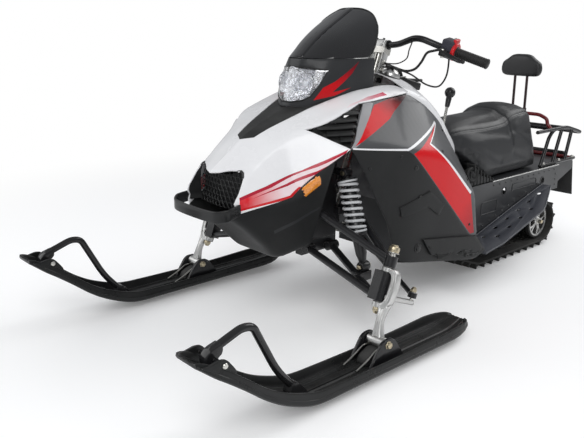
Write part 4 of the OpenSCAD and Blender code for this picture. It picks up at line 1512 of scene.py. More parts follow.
def coilGroup():
    group, given, out = meshGroup(
        "coilSpring",
        [
            ("Turns", "NodeSocketFloat", 8.5), (
                "Radius", "NodeSocketFloat", 0.028
            ), ("Length", "NodeSocketFloat", 0.16),
            ("Wire", "NodeSocketFloat", 0.0046), ("Material", "NodeSocketMaterial", None),
        ],
    )
    spiral = addNode(group, "GeometryNodeCurveSpiral", [
        ("Resolution", 40), ("Rotations", given.outputs["Turns"]), ("Start Radius", given.outputs["Radius"]),
        ("End Radius", given.outputs["Radius"]), ("Height", given.outputs["Length"]),
    ])
    profile = addNode(
        group, "GeometryNodeCurvePrimitiveCircle", [("Resolution", 12), ("Radius", given.outputs["Wire"])]
    )
    wire = addNode(
        group, "GeometryNodeCurveToMesh",
        [("Curve", spiral.outputs[0]), ("Profile Curve", profile.outputs[0]), ("Fill Caps", True)],
    )
    painted = addNode(
        group, "GeometryNodeSetMaterial",
        [("Geometry", wire.outputs[0]), ("Material", given.outputs["Material"])],
    )
    group.links.new(painted.outputs[0], out.inputs[0])
    return group


shockTop, shockLow = at(*shock["top"]), at(*shock["low"])
down = (shockLow - shockTop).normalized()
coilStart = shockTop + down * shock["start"] * mm
coilLength = (shockLow - shockTop).length - (shock["start"] + shock["end"]) * mm
springSeed = bpy.data.meshes.new("springSeed")
spring = grown(
    "coilSpring", springSeed, coilGroup(), "chassis", Turns=shock["coils"], Radius=shock["radius"] * mm,
    Length=coilLength, Wire=shock["wire"] * mm, Material=finish["spring"],
)
spring.data.transform(Matrix.Translation(coilStart) @ down.to_track_quat("Z", "Y").to_matrix().to_4x4())
endRings = [
    turned(
        "springEnd", coilStart + down * h, down,
        [(32, -3), (32.6, 0), (32, 3), (24, 3), (24, -3), (32, -3)],
        finish["spring"], "chassis", 32, 0.5,
    )
    for h in (0.002, coilLength - 0.002)
]
spring = joinPieces("coilSprings", [spring, *endRings])
twin = mirrorPiece(spring, "coilSpringRight")
springs = joinPieces("coilSprings", [spring, twin])
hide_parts("shock_springs")
whole = (shockLow - shockTop).length / mm
damper = [
    turned(
        "shockEye", shockTop - Vector((0, 0.016, 0)), (0, 1, 0),
        [(7, 0), (15, 0), (16, 2), (16, 30), (15, 32), (7, 32)],
        finish["steelBlack"], "chassis", 32, 0.6,
    ),
    turned(
        "shockBush", shockTop - Vector((0, 0.019, 0)), (0, 1, 0), [(0.01, 0), (8, 0), (8, 38), (0.01, 38)],
        finish["zinc"], "chassis", 24, 0.6,
    ),
    turned(
        "shockRod", shockTop, down,
        [
            (0.01, 8), (9, 10), (13, 18), (30, 19), (31, 21), (31, 24), (12, 26), (8, 30), (8, whole - 108),
            (0.01, whole - 107),
        ],
        finish["steelBlack"], "chassis", 32, 0.5,
    ),
    turned(
        "shockBody", shockTop, down,
        [
            (0.01, 60), (21, 61), (22, 64), (22, whole - 112), (31, whole - 112), (32, whole - 109),
            (32, whole - 103), (29, whole - 100), (19, whole - 98), (18, whole - 40), (15, whole - 30),
            (12, whole - 14), (0.01, whole - 10),
        ],
        finish["steelBlack"], "chassis", 36, 0.5,
    ),
    turned(
        "shockFoot", shockLow - Vector((0, 0.017, 0)), (0, 1, 0),
        [(0.01, 0), (15, 0), (16, 2), (16, 32), (15, 34), (0.01, 34)],
        finish["steelBlack"], "chassis", 32, 0.6,
    ),
    turned(
        "shockPin", shockLow - Vector((0, 0.026, 0)), (0, 1, 0),
        [(0.01, 0), (8, 0), (9, 2), (9, 7), (5, 8), (5, 46), (9, 47), (9, 51), (0.01, 52)],
        finish["zinc"], "chassis", 6, 0.6,
    ),
]
damper = joinPieces("shockDampers", damper)
dampers = joinPieces("shockDampers", [damper, mirrorPiece(damper, "shockRight")])
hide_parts("shock_absorbers")

kingpin = at(440, 60, 240)
rake = math.radians(22)
kingAxis = Vector((0, math.sin(rake), math.cos(rake)))
kingBack = Vector((0, math.cos(rake), -math.sin(rake)))
pinTop = kingpin + kingAxis * (45 + 17 + 34 + 11) * mm
for sign, body in ((1, "left_knuckle"), (-1, "right_knuckle")):
    flip = Matrix.Scale(sign, 4, (1, 0, 0))
    nut = [(0.01, 0), (15, 0), (17, 1.5), (17.5, 14), (16, 18), (11, 20), (10, 24), (0.01, 25)]
    bits = [
        turned("kingpinNut", flip @ pinTop, kingAxis, nut, finish["zinc"], body, 6, 0.8),
        turned(
            "kingpinWasher", flip @ (pinTop - kingAxis * 0.0005), kingAxis,
            [(0.01, -1), (18, -1), (18, 1.4), (0.01, 1.4)], finish["plated"], body, 32, 0.3,
        ),
        turned(
            "armPinNut",
            flip @ (kingpin + Vector((0.032, 0, 0)) + kingBack * 0.110 + kingAxis * 0.006),
            kingAxis,
            [(0.01, 0), (9, 0), (10, 1), (10, 9), (8, 11), (6, 16), (0.01, 17)],
            finish["zinc"], body, 6, 0.6,
        ),
    ]
    made = joinPieces("knuckleNuts" + ("Left" if sign > 0 else "Right"), bits)


def onKnuckle(u, v, w):
    # sideways, back and up along the kingpin, in mm from its middle
    return kingpin + Vector((u * mm, 0, 0)) + kingBack * v * mm + kingAxis * w * mm


def slab(name, outline, put, low, high, material, body, bevel=3.0):
    n = len(outline)
    verts = [put(p, q, low) for p, q in outline] + [put(p, q, high) for p, q in outline]
    faces = [tuple(reversed(range(n))), tuple(range(n, 2 * n))] + [
        (k, (k + 1) % n, n + (k + 1) % n, n + k) for k in range(n)
    ]
    return newPiece(name, verts, faces, material, body, bevel, 35, 3)


def makeKnuckle(body, cadNode, sign):
    alloy = finish["alloy"]
    bow = [
        (-8, 61), (12, 61), (32, 59), (44, 48), (49, 24), (50, -8), (47, -38), (38, -60), (20, -64), (-8, -64)
    ]
    bow += [(-8, -47), (14, -47), (23, -40), (28, -20), (29, 24), (24, 41), (14, 46), (-8, 46)]
    parts = [
        slab("knuckleBow", fillet(bow, 5), lambda u, w, v: onKnuckle(u, v, w), -13, 13, alloy, body, 3.5)
    ]
    for low, high in ((46, 61), (-64, -47)):
        parts.append(
            turned(
                "knuckleLug", onKnuckle(0, 0, 0), kingAxis,
                [(8, low), (18, low), (20, low + 2), (20, high - 2), (18, high), (8, high), (8, low)],
                alloy, body, 40, 0.0,
            )
        )
    rim = [(-10, 49), (10, 49), (26, 47), (38, 34), (42, 10), (42, -20), (38, -44)]
    for v in (-13.6, 13.6):
        parts.append(
            tube(
                "knuckleRib",
                curvePoints([onKnuckle(u - 1, v, w + 4) for u, w in rim], 5),
                2.6, alloy, body, 10,
            )
        )
    spine = curvePoints([onKnuckle(27, 0, -46), at(470, 16, 152), at(475, 2, 104)], 5)
    verts, faces, count = [], [], 12
    for k, c in enumerate(spine):
        t = k / (len(spine) - 1)
        hx, hy = 19 - 7 * math.sin(math.pi * t), 13.5 - 3 * math.sin(math.pi * t)
        ring = [
            (-hx, -hy + 4), (-hx + 4, -hy), (-hx * 0.5, -hy), (-hx * 0.4, -hy + 3), (hx * 0.4, -hy + 3),
            (hx * 0.5, -hy), (hx - 4, -hy), (hx, -hy + 4), (hx, hy - 4), (hx - 4, hy), (-hx + 4, hy),
            (-hx, hy - 4),
        ]
        verts += [c + Vector((u * mm, v * mm, 0)) for u, v in ring]
    for i in range(len(spine) - 1):
        faces += [
            (
                i * count + k, i * count + (k + 1) % count, (i + 1) * count + (k + 1) % count,
                (i + 1) * count + k,
            )
            for k in range(count)
        ]
    faces += [tuple(reversed(range(count))), tuple(len(verts) - count + k for k in range(count))]
    parts.append(newPiece("knuckleLeg", verts, faces, alloy, body, 1.2, 40))
    parts.append(
        turned(
            "knuckleFoot", at(475, 0, 95), (1, 0, 0),
            [(10, -30), (15.5, -30), (17, -28.5), (17, 28.5), (15.5, 30), (10, 30), (10, -30)],
            alloy, body, 40, 0.0,
        )
    )
    arm = [
        (22, -12), (46, -12), (46, 20), (46, 104), (44, 114), (38, 121), (32, 123), (26, 121), (20, 114),
        (18, 104), (22, 40),
    ]
    parts.append(
        slab("steeringArm", fillet(arm, 5), lambda u, v, w: onKnuckle(u, v, w), -33, -19, alloy, body, 3.0)
    )
    parts.append(tube("kingpin", [onKnuckle(0, 0, -68), onKnuckle(0, 0, 104)], 8, finish["plated"], body, 28))
    parts.append(
        turned(
            "kingpinFoot", onKnuckle(0, 0, -64), kingAxis * -1,
            [(0.01, -1), (13, -1), (13, 12), (10, 15), (8, 20), (0.01, 21)],
            finish["zinc"], body, 6, 0.8,
        )
    )
    parts.append(
        tube("armPin", [onKnuckle(32, 110, -33), onKnuckle(32, 110, 6)], 5, finish["plated"], body, 20)
    )
    knuckle = joinPieces(cadNode + "Casting", parts)
    if sign < 0:
        twin = mirrorPiece(knuckle, cadNode + "Cast", body)
        bpy.data.objects.remove(knuckle)
        knuckle = twin
    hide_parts(cadNode)


makeKnuckle("left_knuckle", "knuckle_left", 1)
makeKnuckle("right_knuckle", "knuckle_right", -1)

print("skis")
skiPlan = {
    "x": 475,
    # depth, half width, sole, floor, rim
    "stations": [
        (
            -668, 44, 250, 258, 264
        ), (
            -655, 48, 240, 250, 262
        ), (-620, 57, 212, 223, 246), (-580, 64, 184, 195, 220), (-530, 67, 146, 157, 182),
        (
            -480, 69, 106, 117, 143
        ), (-430, 70, 74, 85, 112), (-380, 70, 50, 61, 90), (-330, 70, 32, 43, 73), (-290, 70, 25, 36, 64),
        (
            -200, 70, 24, 35, 60
        ), (-90, 70, 24, 35, 58), (0, 70, 24, 35, 57), (120, 70, 24, 35, 58), (240, 70, 24, 35, 61),
        (300, 70, 24, 35, 63), (
            335, 68, 26.4, 37, 62
        ), (362, 64, 31.5, 42, 61), (385, 56, 38.1, 47, 60), (398, 46, 43, 50, 59), (406, 32, 45.8, 52, 57),
    ],
}


def skiSection(w, sole, floor, rim):
    k = min(1.0, w / 62)
    rib = min(5.0, (rim - floor) * 0.24)
    return [
        (0, sole), (w - 12 * k, sole), (w - 4 * k, sole + 1.5), (w, sole + 7 * k), (w, sole + (rim - sole) * 0.46), (
            w - 3 * k, sole + (rim - sole) * 0.52
        ),
        (w - 4 * k, rim - 5 * k), (w - 6 * k, rim), (w - 11 * k, rim), (w - 14 * k, rim - 4 * k), (
            w - 17 * k, floor + (rim - floor) * 0.3
        ), (w - 21 * k, floor),
        (w * 0.60, floor), (w * 0.56, floor + rib), (w * 0.46, floor + rib), (w * 0.42, floor), (w * 0.24, floor), (
            w * 0.20, floor + rib * 0.6
        ), (0, floor + rib * 0.6),
    ]


def makeSki(body, node, sign):
    x0 = skiPlan["x"]
    rows = []
    knots = skiPlan["stations"]
    lines = curvePoints([Vector((k[0], k[2], k[4])) for k in knots], 4)
    depths = [v.x for v in lines]
    table = np.array(knots, dtype=float)
    for d in depths:
        w, s, f, r = (float(np.interp(d, table[:, 0], table[:, c])) for c in (1, 2, 3, 4))
        near = next((v for v in lines if abs(v.x - d) < 1e-6))
        s, r = near.y, near.z
        f = min(max(f, s + 6), r - 2)
        half = skiSection(w, s, f, r)
        ring = half + [(-u, v) for u, v in reversed(half[1:-1])]
        rows.append([at(x0 + u, d, v) for u, v in ring])
    n = len(rows[0])
    verts = [v for r in rows for v in r]
    faces = [
        (i * n + k, i * n + (k + 1) % n, (i + 1) * n + (k + 1) % n, (i + 1) * n + k)
        for i in range(len(rows) - 1)
        for k in range(n)
    ]
    faces += [tuple(reversed(range(n))), tuple((len(rows) - 1) * n + k for k in range(n))]
    board = newPiece("skiBoard", verts, faces, finish["ski"], body, 0.8, 50)
    parts = [board]
    keel = [(-334, 33), (-300, 22), (-250, 13), (-200, 12), (200, 12), (262, 14), (305, 27), (312, 33)]
    keelTop = [(312, 40), (-334, 42)]
    parts.append(prism("skiKeel", keel + keelTop, "x", x0 - 11, x0 + 11, finish["ski"], body, 2.5))
    for y in range(70, 300, 38):
        parts.append(
            prism(
                "keelTooth",
                [(y, 24), (y + 6, 15), (y + 22, 15), (y + 28, 24)],
                "x", x0 - 30, x0 + 30, finish["ski"], body, 1.5,
            )
        )
    bar = roundedPath(ats([(x0, -262, 24), (x0, -246, 6.5), (x0, 246, 6.5), (x0, 262, 24)]), 12)
    parts.append(tube("wearBar", bar, 5, finish["plated"], body, 12))
    for s in (-1, 1):
        low, high = (x0 + 34, x0 + 44) if s > 0 else (x0 - 44, x0 - 34)
        saddle = fillet(
            [(-78, 32), (-60, 62), (-30, 104), (-14, 113), (14, 113), (30, 104), (60, 62), (78, 32)], 16
        )
        parts.append(prism("skiSaddle", saddle, "x", low, high, finish["steelBlack"], body, 1.2))
        parts.append(
            turned(
                "skiBoltHead", at(x0 + s * 44, 0, 95), (s, 0, 0),
                [(0.01, -1), (13, -1), (13, 1.5), (10.5, 2), (10.5, 8), (8, 9.5), (0.01, 9.5)],
                finish["zinc"], body, 6, 0.6,
            )
        )
        cheek = fillet(
            [
                (-664, 256), (-640, 252), (-610, 258), (-590, 254), (-574, 234), (-560, 214), (-566, 198),
                (-610, 222), (-650, 246),
            ],
            9,
        )
        inner = x0 + s * 46
        parts.append(
            prism(
                "tipCheek", cheek, "x", min(inner, inner + s * 9), max(inner, inner + s * 9), finish["ski"],
                body, 1.6,
            )
        )
        parts.append(
            turned(
                "tipBolt", at(x0 + s * 55, -596, 240), (s, 0, 0),
                [(0.01, -1), (8, -1), (8, 1.5), (6, 4), (0.01, 4.6)],
                finish["plated"], body, 24, 0.4,
            )
        )
        wire = roundedPath(
            ats(
                [
                    (x0 + s * 26, 34, 66), (x0 + s * 26, -30, 84), (x0 + s * 26, -74, 60),
                    (x0 + s * 26, -116, 44),
                ]
            ),
            14,
        )
        parts.append(tube("skiSpring", wire, 3.0, finish["plated"], body, 10))
    parts.append(
        prism(
            "skiDamper",
            fillet([(-70, 38), (-60, 62), (-24, 78), (24, 78), (60, 62), (70, 38)], 10),
            "x", x0 - 20, x0 + 20, finish["rubber"], body, 3,
        )
    )
    parts.append(
        turned(
            "tipRod", at(x0 - 55, -596, 240), (1, 0, 0), [(0.01, 0), (6, 0), (6, 110), (0.01, 110)],
            finish["steelBlack"], body, 20,
        )
    )
    handle = roundedPath(
        ats(
            [
                (x0, -597, 236), (x0, -601, 258), (x0, -505, 290), (x0, -470, 284), (x0, -392, 132),
                (x0, -330, 62), (x0, -316, 40),
            ]
        ),
        44, 10,
    )
    parts.append(tube("tipLoop", handle, 11, finish["loop"], body, 24))
    foot = fillet(
        [(-620, 214), (-622, 248), (-606, 266), (-570, 276), (-572, 250), (-588, 240), (-590, 216)], 8
    )
    parts.append(prism("loopBracket", foot, "x", x0 - 15, x0 + 15, finish["loop"], body, 3))
    base = fillet([(-360, 60), (-348, 84), (-330, 84), (-300, 52), (-292, 40), (-350, 40)], 8)
    parts.append(prism("loopBase", base, "x", x0 - 16, x0 + 16, finish["loop"], body, 3))
    ski = joinPieces("skiLeft", parts)
    if sign < 0:
        twin = mirrorPiece(ski, "skiRight", body)
        bpy.data.objects.remove(ski)
        ski = twin
    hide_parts(node)
    return ski


makeSki("left_ski", "ski_left", 1)
makeSki("right_ski", "ski_right", -1)
finish["board"] = paintedMetal("bluishSheet", (0.044, 0.047, 0.058), (0.034, 0.037, 0.047), 0.40, 0.0)
finish["darkTube"] = paintedMetal("darkTubePaint", (0.030, 0.012, 0.012), (0.022, 0.010, 0.010), 0.24, 0.0)
finish["redLens"], redTree, redShader = surface(
    "redLens", Roughness=0.08, Coat_Weight=0.6, Coat_Roughness=0.04
)
lensGrain = placeGroup(redTree, "grain", Scale=300.0, Cells=1.0)
redTree.links.new(
    blendColors(
        redTree,
        spread(redTree, lensGrain.outputs["Shade"], 0.0, 1.0),
        (0.50, 0.010, 0.012), (0.34, 0.006, 0.008),
    ),
    redShader.inputs["Base Color"],
)
lensBump = addNode(
    redTree, "ShaderNodeBump",
    [("Strength", 0.35), ("Distance", 0.0006), ("Height", lensGrain.outputs["Height"])],
)
redTree.links.new(lensBump.outputs[0], redShader.inputs["Normal"])
finish["darkBox"] = plastic(
    "darkBoxPlastic", (0.030, 0.030, 0.040), (0.042, 0.042, 0.054), 0.44, 900.0, 0.12, 0.05
)
finish["gripRubber"] = plastic(
    "gripRubber", (0.012, 0.012, 0.012), (0.020, 0.020, 0.020), 0.5, 1200.0, 0.2, 0.05
)


# steering head, handlebar and controls
print("steering")
barPoints = [(0, 515, 925), (70, 515, 925), (172, 502, 956), (245, 536, 925), (405, 572, 874)]
half = [at(*p) for p in barPoints]
barPath = roundedPath(mirrored(list(reversed(half[1:]))) + half[1:], 34, 8)
bar = tube("handlebarTube", barPath, 11, finish["steelBlack"], "steering", 24)
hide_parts("handlebar")
gripDir = (half[4] - half[3]).normalized()
ribs = [(12, -118), (20, -118), (22, -115), (22, -111), (17, -109)]
for k in range(16):
    h = -106 + k * 6.4
    ribs += [(15.2, h), (16.4, h + 1.2), (16.4, h + 3.9), (15.2, h + 5.1)]
ribs += [(16, -2), (17, 0), (17, 4), (15, 6), (0.01, 6.4)]
grip = turned("gripLeft", half[4], gripDir, ribs, finish["gripRubber"], "steering", 32, 0, 50)
trimRing = turned(
    "gripCollar", half[4], gripDir,
    [(11.5, -121), (17, -121), (17.6, -120), (17.6, -118), (11.5, -118)],
    finish["steelBlack"], "steering", 32, 0.3,
)
grip = joinPieces("gripLeft", [grip, trimRing])
grips = joinPieces("handGrips", [grip, mirrorPiece(grip, "gripRight")])
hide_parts("hand_grips")


def boxAlong(name, centre, along, up, size, material, body, bevel=2.0, taper=1.0):
    # a rounded block whose length runs along the given direction
    along = along.normalized()
    side = along.cross(up).normalized()
    up = side.cross(along).normalized()
    verts = []
    for i, grow in ((-1, 1.0), (1, taper)):
        for j, k in ((-1, -1), (1, -1), (1, 1), (-1, 1)):
            verts.append(
                centre + (along * i * size[0] + side * j * size[1] * grow + up * k * size[2] * grow) * mm / 2
            )
    faces = [(3, 2, 1, 0), (4, 5, 6, 7)] + [(k, (k + 1) % 4, 4 + (k + 1) % 4, 4 + k) for k in range(4)]
    return newPiece(name, verts, faces, material, body, bevel, 35, 3)


controls = []
boxCentre = half[4] - gripDir * 0.141
upward = Vector((0, -0.1, 1))
forward = Vector((0, -1, -0.25)).normalized()
controls.append(
    boxAlong(
        "switchBox", boxCentre + Vector((0, 0.004, 0.004)), gripDir, upward, (44, 50, 60), finish["darkBox"],
        "steering", 6,
    )
)
controls.append(
    boxAlong(
        "switchLid", boxCentre + Vector((0.002, 0.026, 0.014)), gripDir, upward, (30, 12, 26),
        finish["blackSmooth"], "steering", 2.5,
    )
)
controls.append(
    boxAlong(
        "switchRocker", boxCentre + Vector((0.000, 0.034, 0.020)), gripDir, upward, (12, 6, 16),
        finish["red"], "steering", 1.5,
    )
)
controls.append(
    boxAlong(
        "thumbLever", boxCentre + Vector((0.012, 0.030, -0.020)), gripDir, upward, (34, 8, 12),
        finish["blackSmooth"], "steering", 2.0,
    )
)
controls.append(
    turned(
        "redCollar", boxCentre, gripDir,
        [(12, 19), (27, 19), (30, 21), (30, 28), (27, 31), (12, 31)],
        finish["red"], "steering", 40, 0.8,
    )
)
controls.append(
    boxAlong(
        "redLug",
        boxCentre + gripDir * 0.0245 + Vector((0, 0.002, 0.020)),
        gripDir, upward, (12, 34, 44), finish["red"], "steering", 4,
    )
)
controls.append(
    turned(
        "redScrew",
        boxCentre + gripDir * 0.0245 + Vector((0, 0.002, 0.041)),
        (0, 0, 1),
        [(0.01, -4), (5, -4), (5, 3), (3, 4), (0.01, 4)],
        finish["plated"], "steering", 20, 0.3,
    )
)
perch = boxCentre + forward * 0.034
controls.append(
    boxAlong(
        "leverPerch",
        boxCentre + forward * 0.024 + Vector((0, 0, -0.004)),
        gripDir, upward, (26, 34, 20), finish["blackSmooth"], "steering", 3,
    )
)
controls.append(
    turned(
        "leverPivot", perch + Vector((0, 0, -0.018)), (0, 0.1, 1),
        [(0.01, 0), (6, 0), (6, 28), (5, 30), (0.01, 30)],
        finish["plated"], "steering", 20, 0.4,
    )
)
leverPath = roundedPath(
    [
        perch, perch + gripDir * 0.040 + forward * 0.010,
        perch + gripDir * 0.070 + forward * 0.008 + Vector((0, 0, -0.004)),
        perch + gripDir * 0.084 + forward * 0.012,
    ],
    22, 6,
)
blade = [
    (-0.0035, -0.007), (0.0035, -0.007), (0.0045, 0.0), (0.0035, 0.007), (-0.0035, 0.007), (-0.0045, 0.0)
]
controls.append(
    newPiece(
        "brakeLever",
        *sweep(leverPath, [(v, u) for u, v in blade], scaleAt=lambda t: 1.15 - 0.35 * t),
        finish["steelBlack"], "steering", 1.2, 50,
    )
)
controls.append(
    turned(
        "leverTip", leverPath[-1], leverPath[-1] - leverPath[-3],
        [(5, -3), (6.6, 0), (6.6, 3), (4.6, 6), (0.01, 7)],
        finish["steelBlack"], "steering", 20, 0,
    )
)
left = joinPieces("controlsLeft", controls)
both = joinPieces("barControls", [left, mirrorPiece(left, "controlsRight")])
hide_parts("bar_controls")


def cableRun(name, points, radius, perSpan=8, body="steering"):
    run = tube(name, curvePoints(ats(points), perSpan), radius, finish["rubber"], body, 12, angle=60)
    return run


cables = [
    cableRun(
        "switchCable",
        [
            (272, 548, 900), (268, 556, 872), (248, 572, 822), (206, 586, 786), (160, 580, 790),
            (112, 546, 826), (66, 502, 846), (17, 486, 850),
        ],
        3.0,
    ),
    cableRun(
        "brakeHose",
        [
            (270, 518, 918), (240, 508, 912), (212, 508, 904), (186, 512, 872), (150, 522, 846),
            (112, 520, 838), (70, 504, 850), (22, 492, 868),
        ],
        4.4,
    ),
    cableRun(
        "throttleCable",
        [
            (-270, 518, 918), (-240, 510, 910), (-206, 512, 898), (-170, 520, 868), (-122, 520, 846),
            (-66, 504, 852), (-22, 492, 868),
        ],
        3.2,
    ),
    cableRun(
        "lampCable",
        [(152, 506, 950), (140, 512, 932), (124, 520, 910), (106, 530, 880), (74, 520, 862), (30, 498, 862)],
        2.2,
    ),
]
cables = joinPieces("controlCables", cables)
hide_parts("control_cables")

head = []
clampAt = at(0, 515, 925)
for sign in (-1, 1):
    plate = [
        (-17, -150), (17, -150), (22, -128), (13, -92), (13, -40), (19, -14), (14, 15), (-14, 15),
        (-19, -14), (-13, -40), (-13, -92), (-22, -128),
    ]
    plate = fillet(plate, 7)
    x = sign * 31
    verts = [
        clampAt + Vector((x * mm + s * 0.0035, 0, 0)) + kingBack * u * mm + kingAxis * v * mm
        for s in (-1, 1)
        for u, v in plate
    ]
    n = len(plate)
    faces = [tuple(reversed(range(n))), tuple(range(n, 2 * n))] + [
        (k, (k + 1) % n, n + (k + 1) % n, n + k) for k in range(n)
    ]
    head.append(newPiece("headPlate", verts, faces, finish["alloy"], "steering", 1.2))
    for v, r in ((0, 17), (-66, 8), (-92, 8), (-134, 13)):
        shape = [(0.01, 0), (r, 0), (r, 3), (r - 2, 4.5), (0.01, 4.5)]
        kind = finish["blackSmooth"] if r in (13, 17) else finish["plated"]
        head.append(
            turned(
                "headBoss",
                clampAt + Vector((x * mm + sign * 0.0030, 0, 0)) + kingAxis * v * mm,
                (sign, 0, 0), shape, kind, "steering", 28, 0.5,
            )
        )
head.append(
    boxAlong("barClamp", clampAt, Vector((1, 0, 0)), kingAxis, (52, 34, 34), finish["alloy"], "steering", 6)
)
for x in (-16, 16):
    for u in (-12, 12):
        head.append(
            turned(
                "clampScrew",
                clampAt + Vector((x * mm, 0, 0)) + kingBack * u * mm + kingAxis * 0.0165,
                kingAxis,
                [(0.01, 0), (4.4, 0), (4.4, 3.4), (2.4, 3.6), (2.2, 1.6), (0.01, 1.6)],
                finish["steelBlack"], "steering", 20, 0.2,
            )
        )
head = joinPieces("steeringHead", head)

# console and its fittings
print("console")
consoleRows = [
    (438, [(0, 833), (58, 831), (112, 816), (184, 784), (200, 700)]),
    (500, [(0, 826), (56, 824), (112, 808), (190, 764), (204, 690)]),
    (560, [(0, 806), (54, 804), (112, 784), (194, 734), (206, 660)]),
    (640, [(0, 756), (50, 753), (104, 732), (188, 676), (203, 600)]),
    (720, [(0, 694), (46, 690), (92, 664), (166, 612), (186, 520)]),
    (806, [(0, 636), (44, 632), (86, 606), (134, 552), (158, 450)]),
]
consoleTree = shellTree([[at(r[1][k][0], r[0], r[1][k][1]) for r in consoleRows] for k in range(5)], 8, 20)
consoleView = RoundView(consoleTree, (430, 640), (810, 480))


def consoleSide(points, closed=False, step=9):
    return [onSide(y, z, consoleTree) for y, z in walk(points, closed, step)]


lowRun = consoleSide([(440, 742), (500, 716), (560, 668), (640, 600), (716, 534), (800, 468)])
backEdge = [onTop(x, 800, consoleTree) for x in np.arange(138, 0, -9)] + [onTop(0, 800, consoleTree)]
ridgeLine = [onTop(0, y, consoleTree) for y in np.arange(791, 438, -9)]
frontEdge = [onTop(x, 440, consoleTree) for x in np.arange(0, 190, 9)] + consoleSide([(440, 762), (440, 750)])
blackPart = [
    onTop(x, y, consoleTree)
    for x, y in walk([(2, 620), (44, 640), (90, 700), (134, 796), (2, 796)], True, 10)
]
consoleSkin = skin(
    "consoleShell", consoleView, lowRun + backEdge + ridgeLine + frontEdge,
    [finish["white"], finish["black"]], "chassis", areas=[(blackPart, 1)], wall=3.0, grid=11, bevel=1.0,
)
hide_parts("console")
p = onTop(74, 486, consoleTree)
lean = Vector((0.25, 0.25, 1)).normalized()
fuel = [
    turned(
        "fuelCap", p - lean * 0.012, lean,
        [(30, 0), (33, 6), (33, 16), (30, 24), (22, 32), (11, 37), (0.01, 38)],
        finish["alloy"], "chassis", 40, 0.6,
    ),
    turned(
        "fuelCollar", p - lean * 0.012, lean,
        [(36, 0), (40, 3), (40, 9), (36, 12), (31, 12)],
        finish["blackSmooth"], "chassis", 40, 0.8,
    ),
    boxAlong(
        "capBridge", p + lean * 0.026, Vector((0.3, 1, -0.3)), lean, (66, 14, 11), finish["blackSmooth"],
        "chassis", 3,
    ),
    boxAlong(
        "capCross", p + lean * 0.030 + Vector((0.0, -0.012, 0)), Vector((1, -0.2, 0)), lean, (34, 12, 10),
        finish["blackSmooth"], "chassis", 3,
    ),
    boxAlong(
        "capLatch",
        p + lean * 0.020 + Vector((0.004, 0.036, -0.010)),
        Vector((0.2, 0.3, -1)), Vector((0, 1, 0.3)), (30, 13, 8), finish["blackSmooth"], "chassis", 2.5,
    ),
]
q = onTop(62, 606, consoleTree)
block = [
    boxAlong(
        "keyBlock", q + Vector((0, -0.006, 0.012)), Vector((0.12, 1, -0.26)), Vector((0, 0.2, 1)),
        (96, 50, 34), finish["blackSmooth"], "chassis", 6, 0.8,
    ),
    boxAlong(
        "keyBlockLid", q + Vector((0.0, 0.022, 0.024)), Vector((0.12, 1, -0.05)), Vector((0, 0.2, 1)),
        (74, 38, 14), finish["black"], "chassis", 4, 0.7,
    ),
    turned(
        "keyBarrel", q + Vector((-0.002, -0.030, 0.034)), (0, -0.2, 1),
        [(0.01, -2), (11, -2), (11, 3), (9, 5), (3.4, 5), (3.4, 4), (0.01, 4)],
        finish["plated"], "chassis", 28, 0.4,
    ),
]
fittings = joinPieces("consoleFittings", fuel + block)
rodLow, rodHigh = at(138, 716, 603.6), at(109, 794, 744)
leverAxis = (rodHigh - rodLow).normalized()
length = (rodHigh - rodLow).length / mm
lever = [
    turned(
        "leverBoot", rodLow, leverAxis,
        [(22, -2), (23, 2), (19, 6), (20, 10), (15, 14), (16, 18), (11, 23), (8, 30), (6, 32)],
        finish["rubber"], "chassis", 28, 0,
    ),
    turned("leverRod", rodLow, leverAxis, [(5.5, 0), (5.5, length - 14)], finish["plated"], "chassis", 20, 0),
    turned(
        "leverNeck", rodLow, leverAxis,
        [(6, length - 62), (9, length - 56), (11, length - 26), (10, length - 14)],
        finish["steelBlack"], "chassis", 24, 0,
    ),
    turned(
        "leverKnob", rodHigh, leverAxis,
        [(8, -20), (15, -15), (19.5, -7), (20.5, 0), (19, 8), (14, 15), (7, 19), (0.01, 20)],
        finish["loop"], "chassis", 36, 0, 60,
    ),
]
lever = joinPieces("reverseLever", lever)
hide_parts("reverse_lever")

# seat and backrest pad
print("seat")


def leatherWithPaintedShade(name, top, low, roughness, level):
    # vinyl with painted shade that makes upward faces darker, and a pebbled grain
    material, tree, shader = surface(name, Specular_IOR_Level=0.36, Coat_Weight=0.10, Coat_Roughness=0.3)
    grain = placeGroup(tree, "grain", Scale=700.0, Cells=0.8)
    powder = placeGroup(tree, "dust", Amount=0.10, Patch=9.0)
    shadeFacing = addNode(
        tree, "ShaderNodeSeparateXYZ", [("Vector", addNode(tree, "ShaderNodeNewGeometry").outputs["Normal"])]
    )
    # painted shade: the colour turns darker as the face turns upwards
    share = addRamp(tree, shadeFacing.outputs["Z"], level - 0.16, level + 0.16)
    tone = blendColors(tree, share.outputs[0], low, top)
    tone = blendColors(
        tree, spread(tree, grain.outputs["Shade"], 0.0, 0.45), tone, tuple(c * 0.72 for c in low)
    )
    tone = blendColors(tree, powder.outputs["Mask"], tone, (0.18, 0.18, 0.18))
    finishWith(tree, shader, tone, grain, roughness - 0.06, roughness + 0.1, 0.22, 0.0006)
    return material


# seat and pad vinyl, with painted shade on their upward faces
finish["vinyl"] = leatherWithPaintedShade("seatVinyl", (0.015, 0.016, 0.017), (0.024, 0.025, 0.027), 0.40, 0.62)
finish["padVinyl"] = leatherWithPaintedShade("padVinyl", (0.013, 0.013, 0.014), (0.016, 0.016, 0.017), 0.34, 0.9)
finish["seatTop"] = leatherWithPaintedShade("seatTopVinyl", (0.009, 0.009, 0.010), (0.015, 0.016, 0.017), 0.36, 0.80)
finish["thread"] = plastic("thread", (0.030, 0.030, 0.032), (0.060, 0.060, 0.064), 0.7, 2400.0, 0.3, 0.0)
softness = {
    "voxel": 6.0, "frames": 20, "pressure": 4.0, "seatCap": 6.0, "padCap": 5.0, "seamWidth": 7.0,
    "seamDepth": 2.6,
}


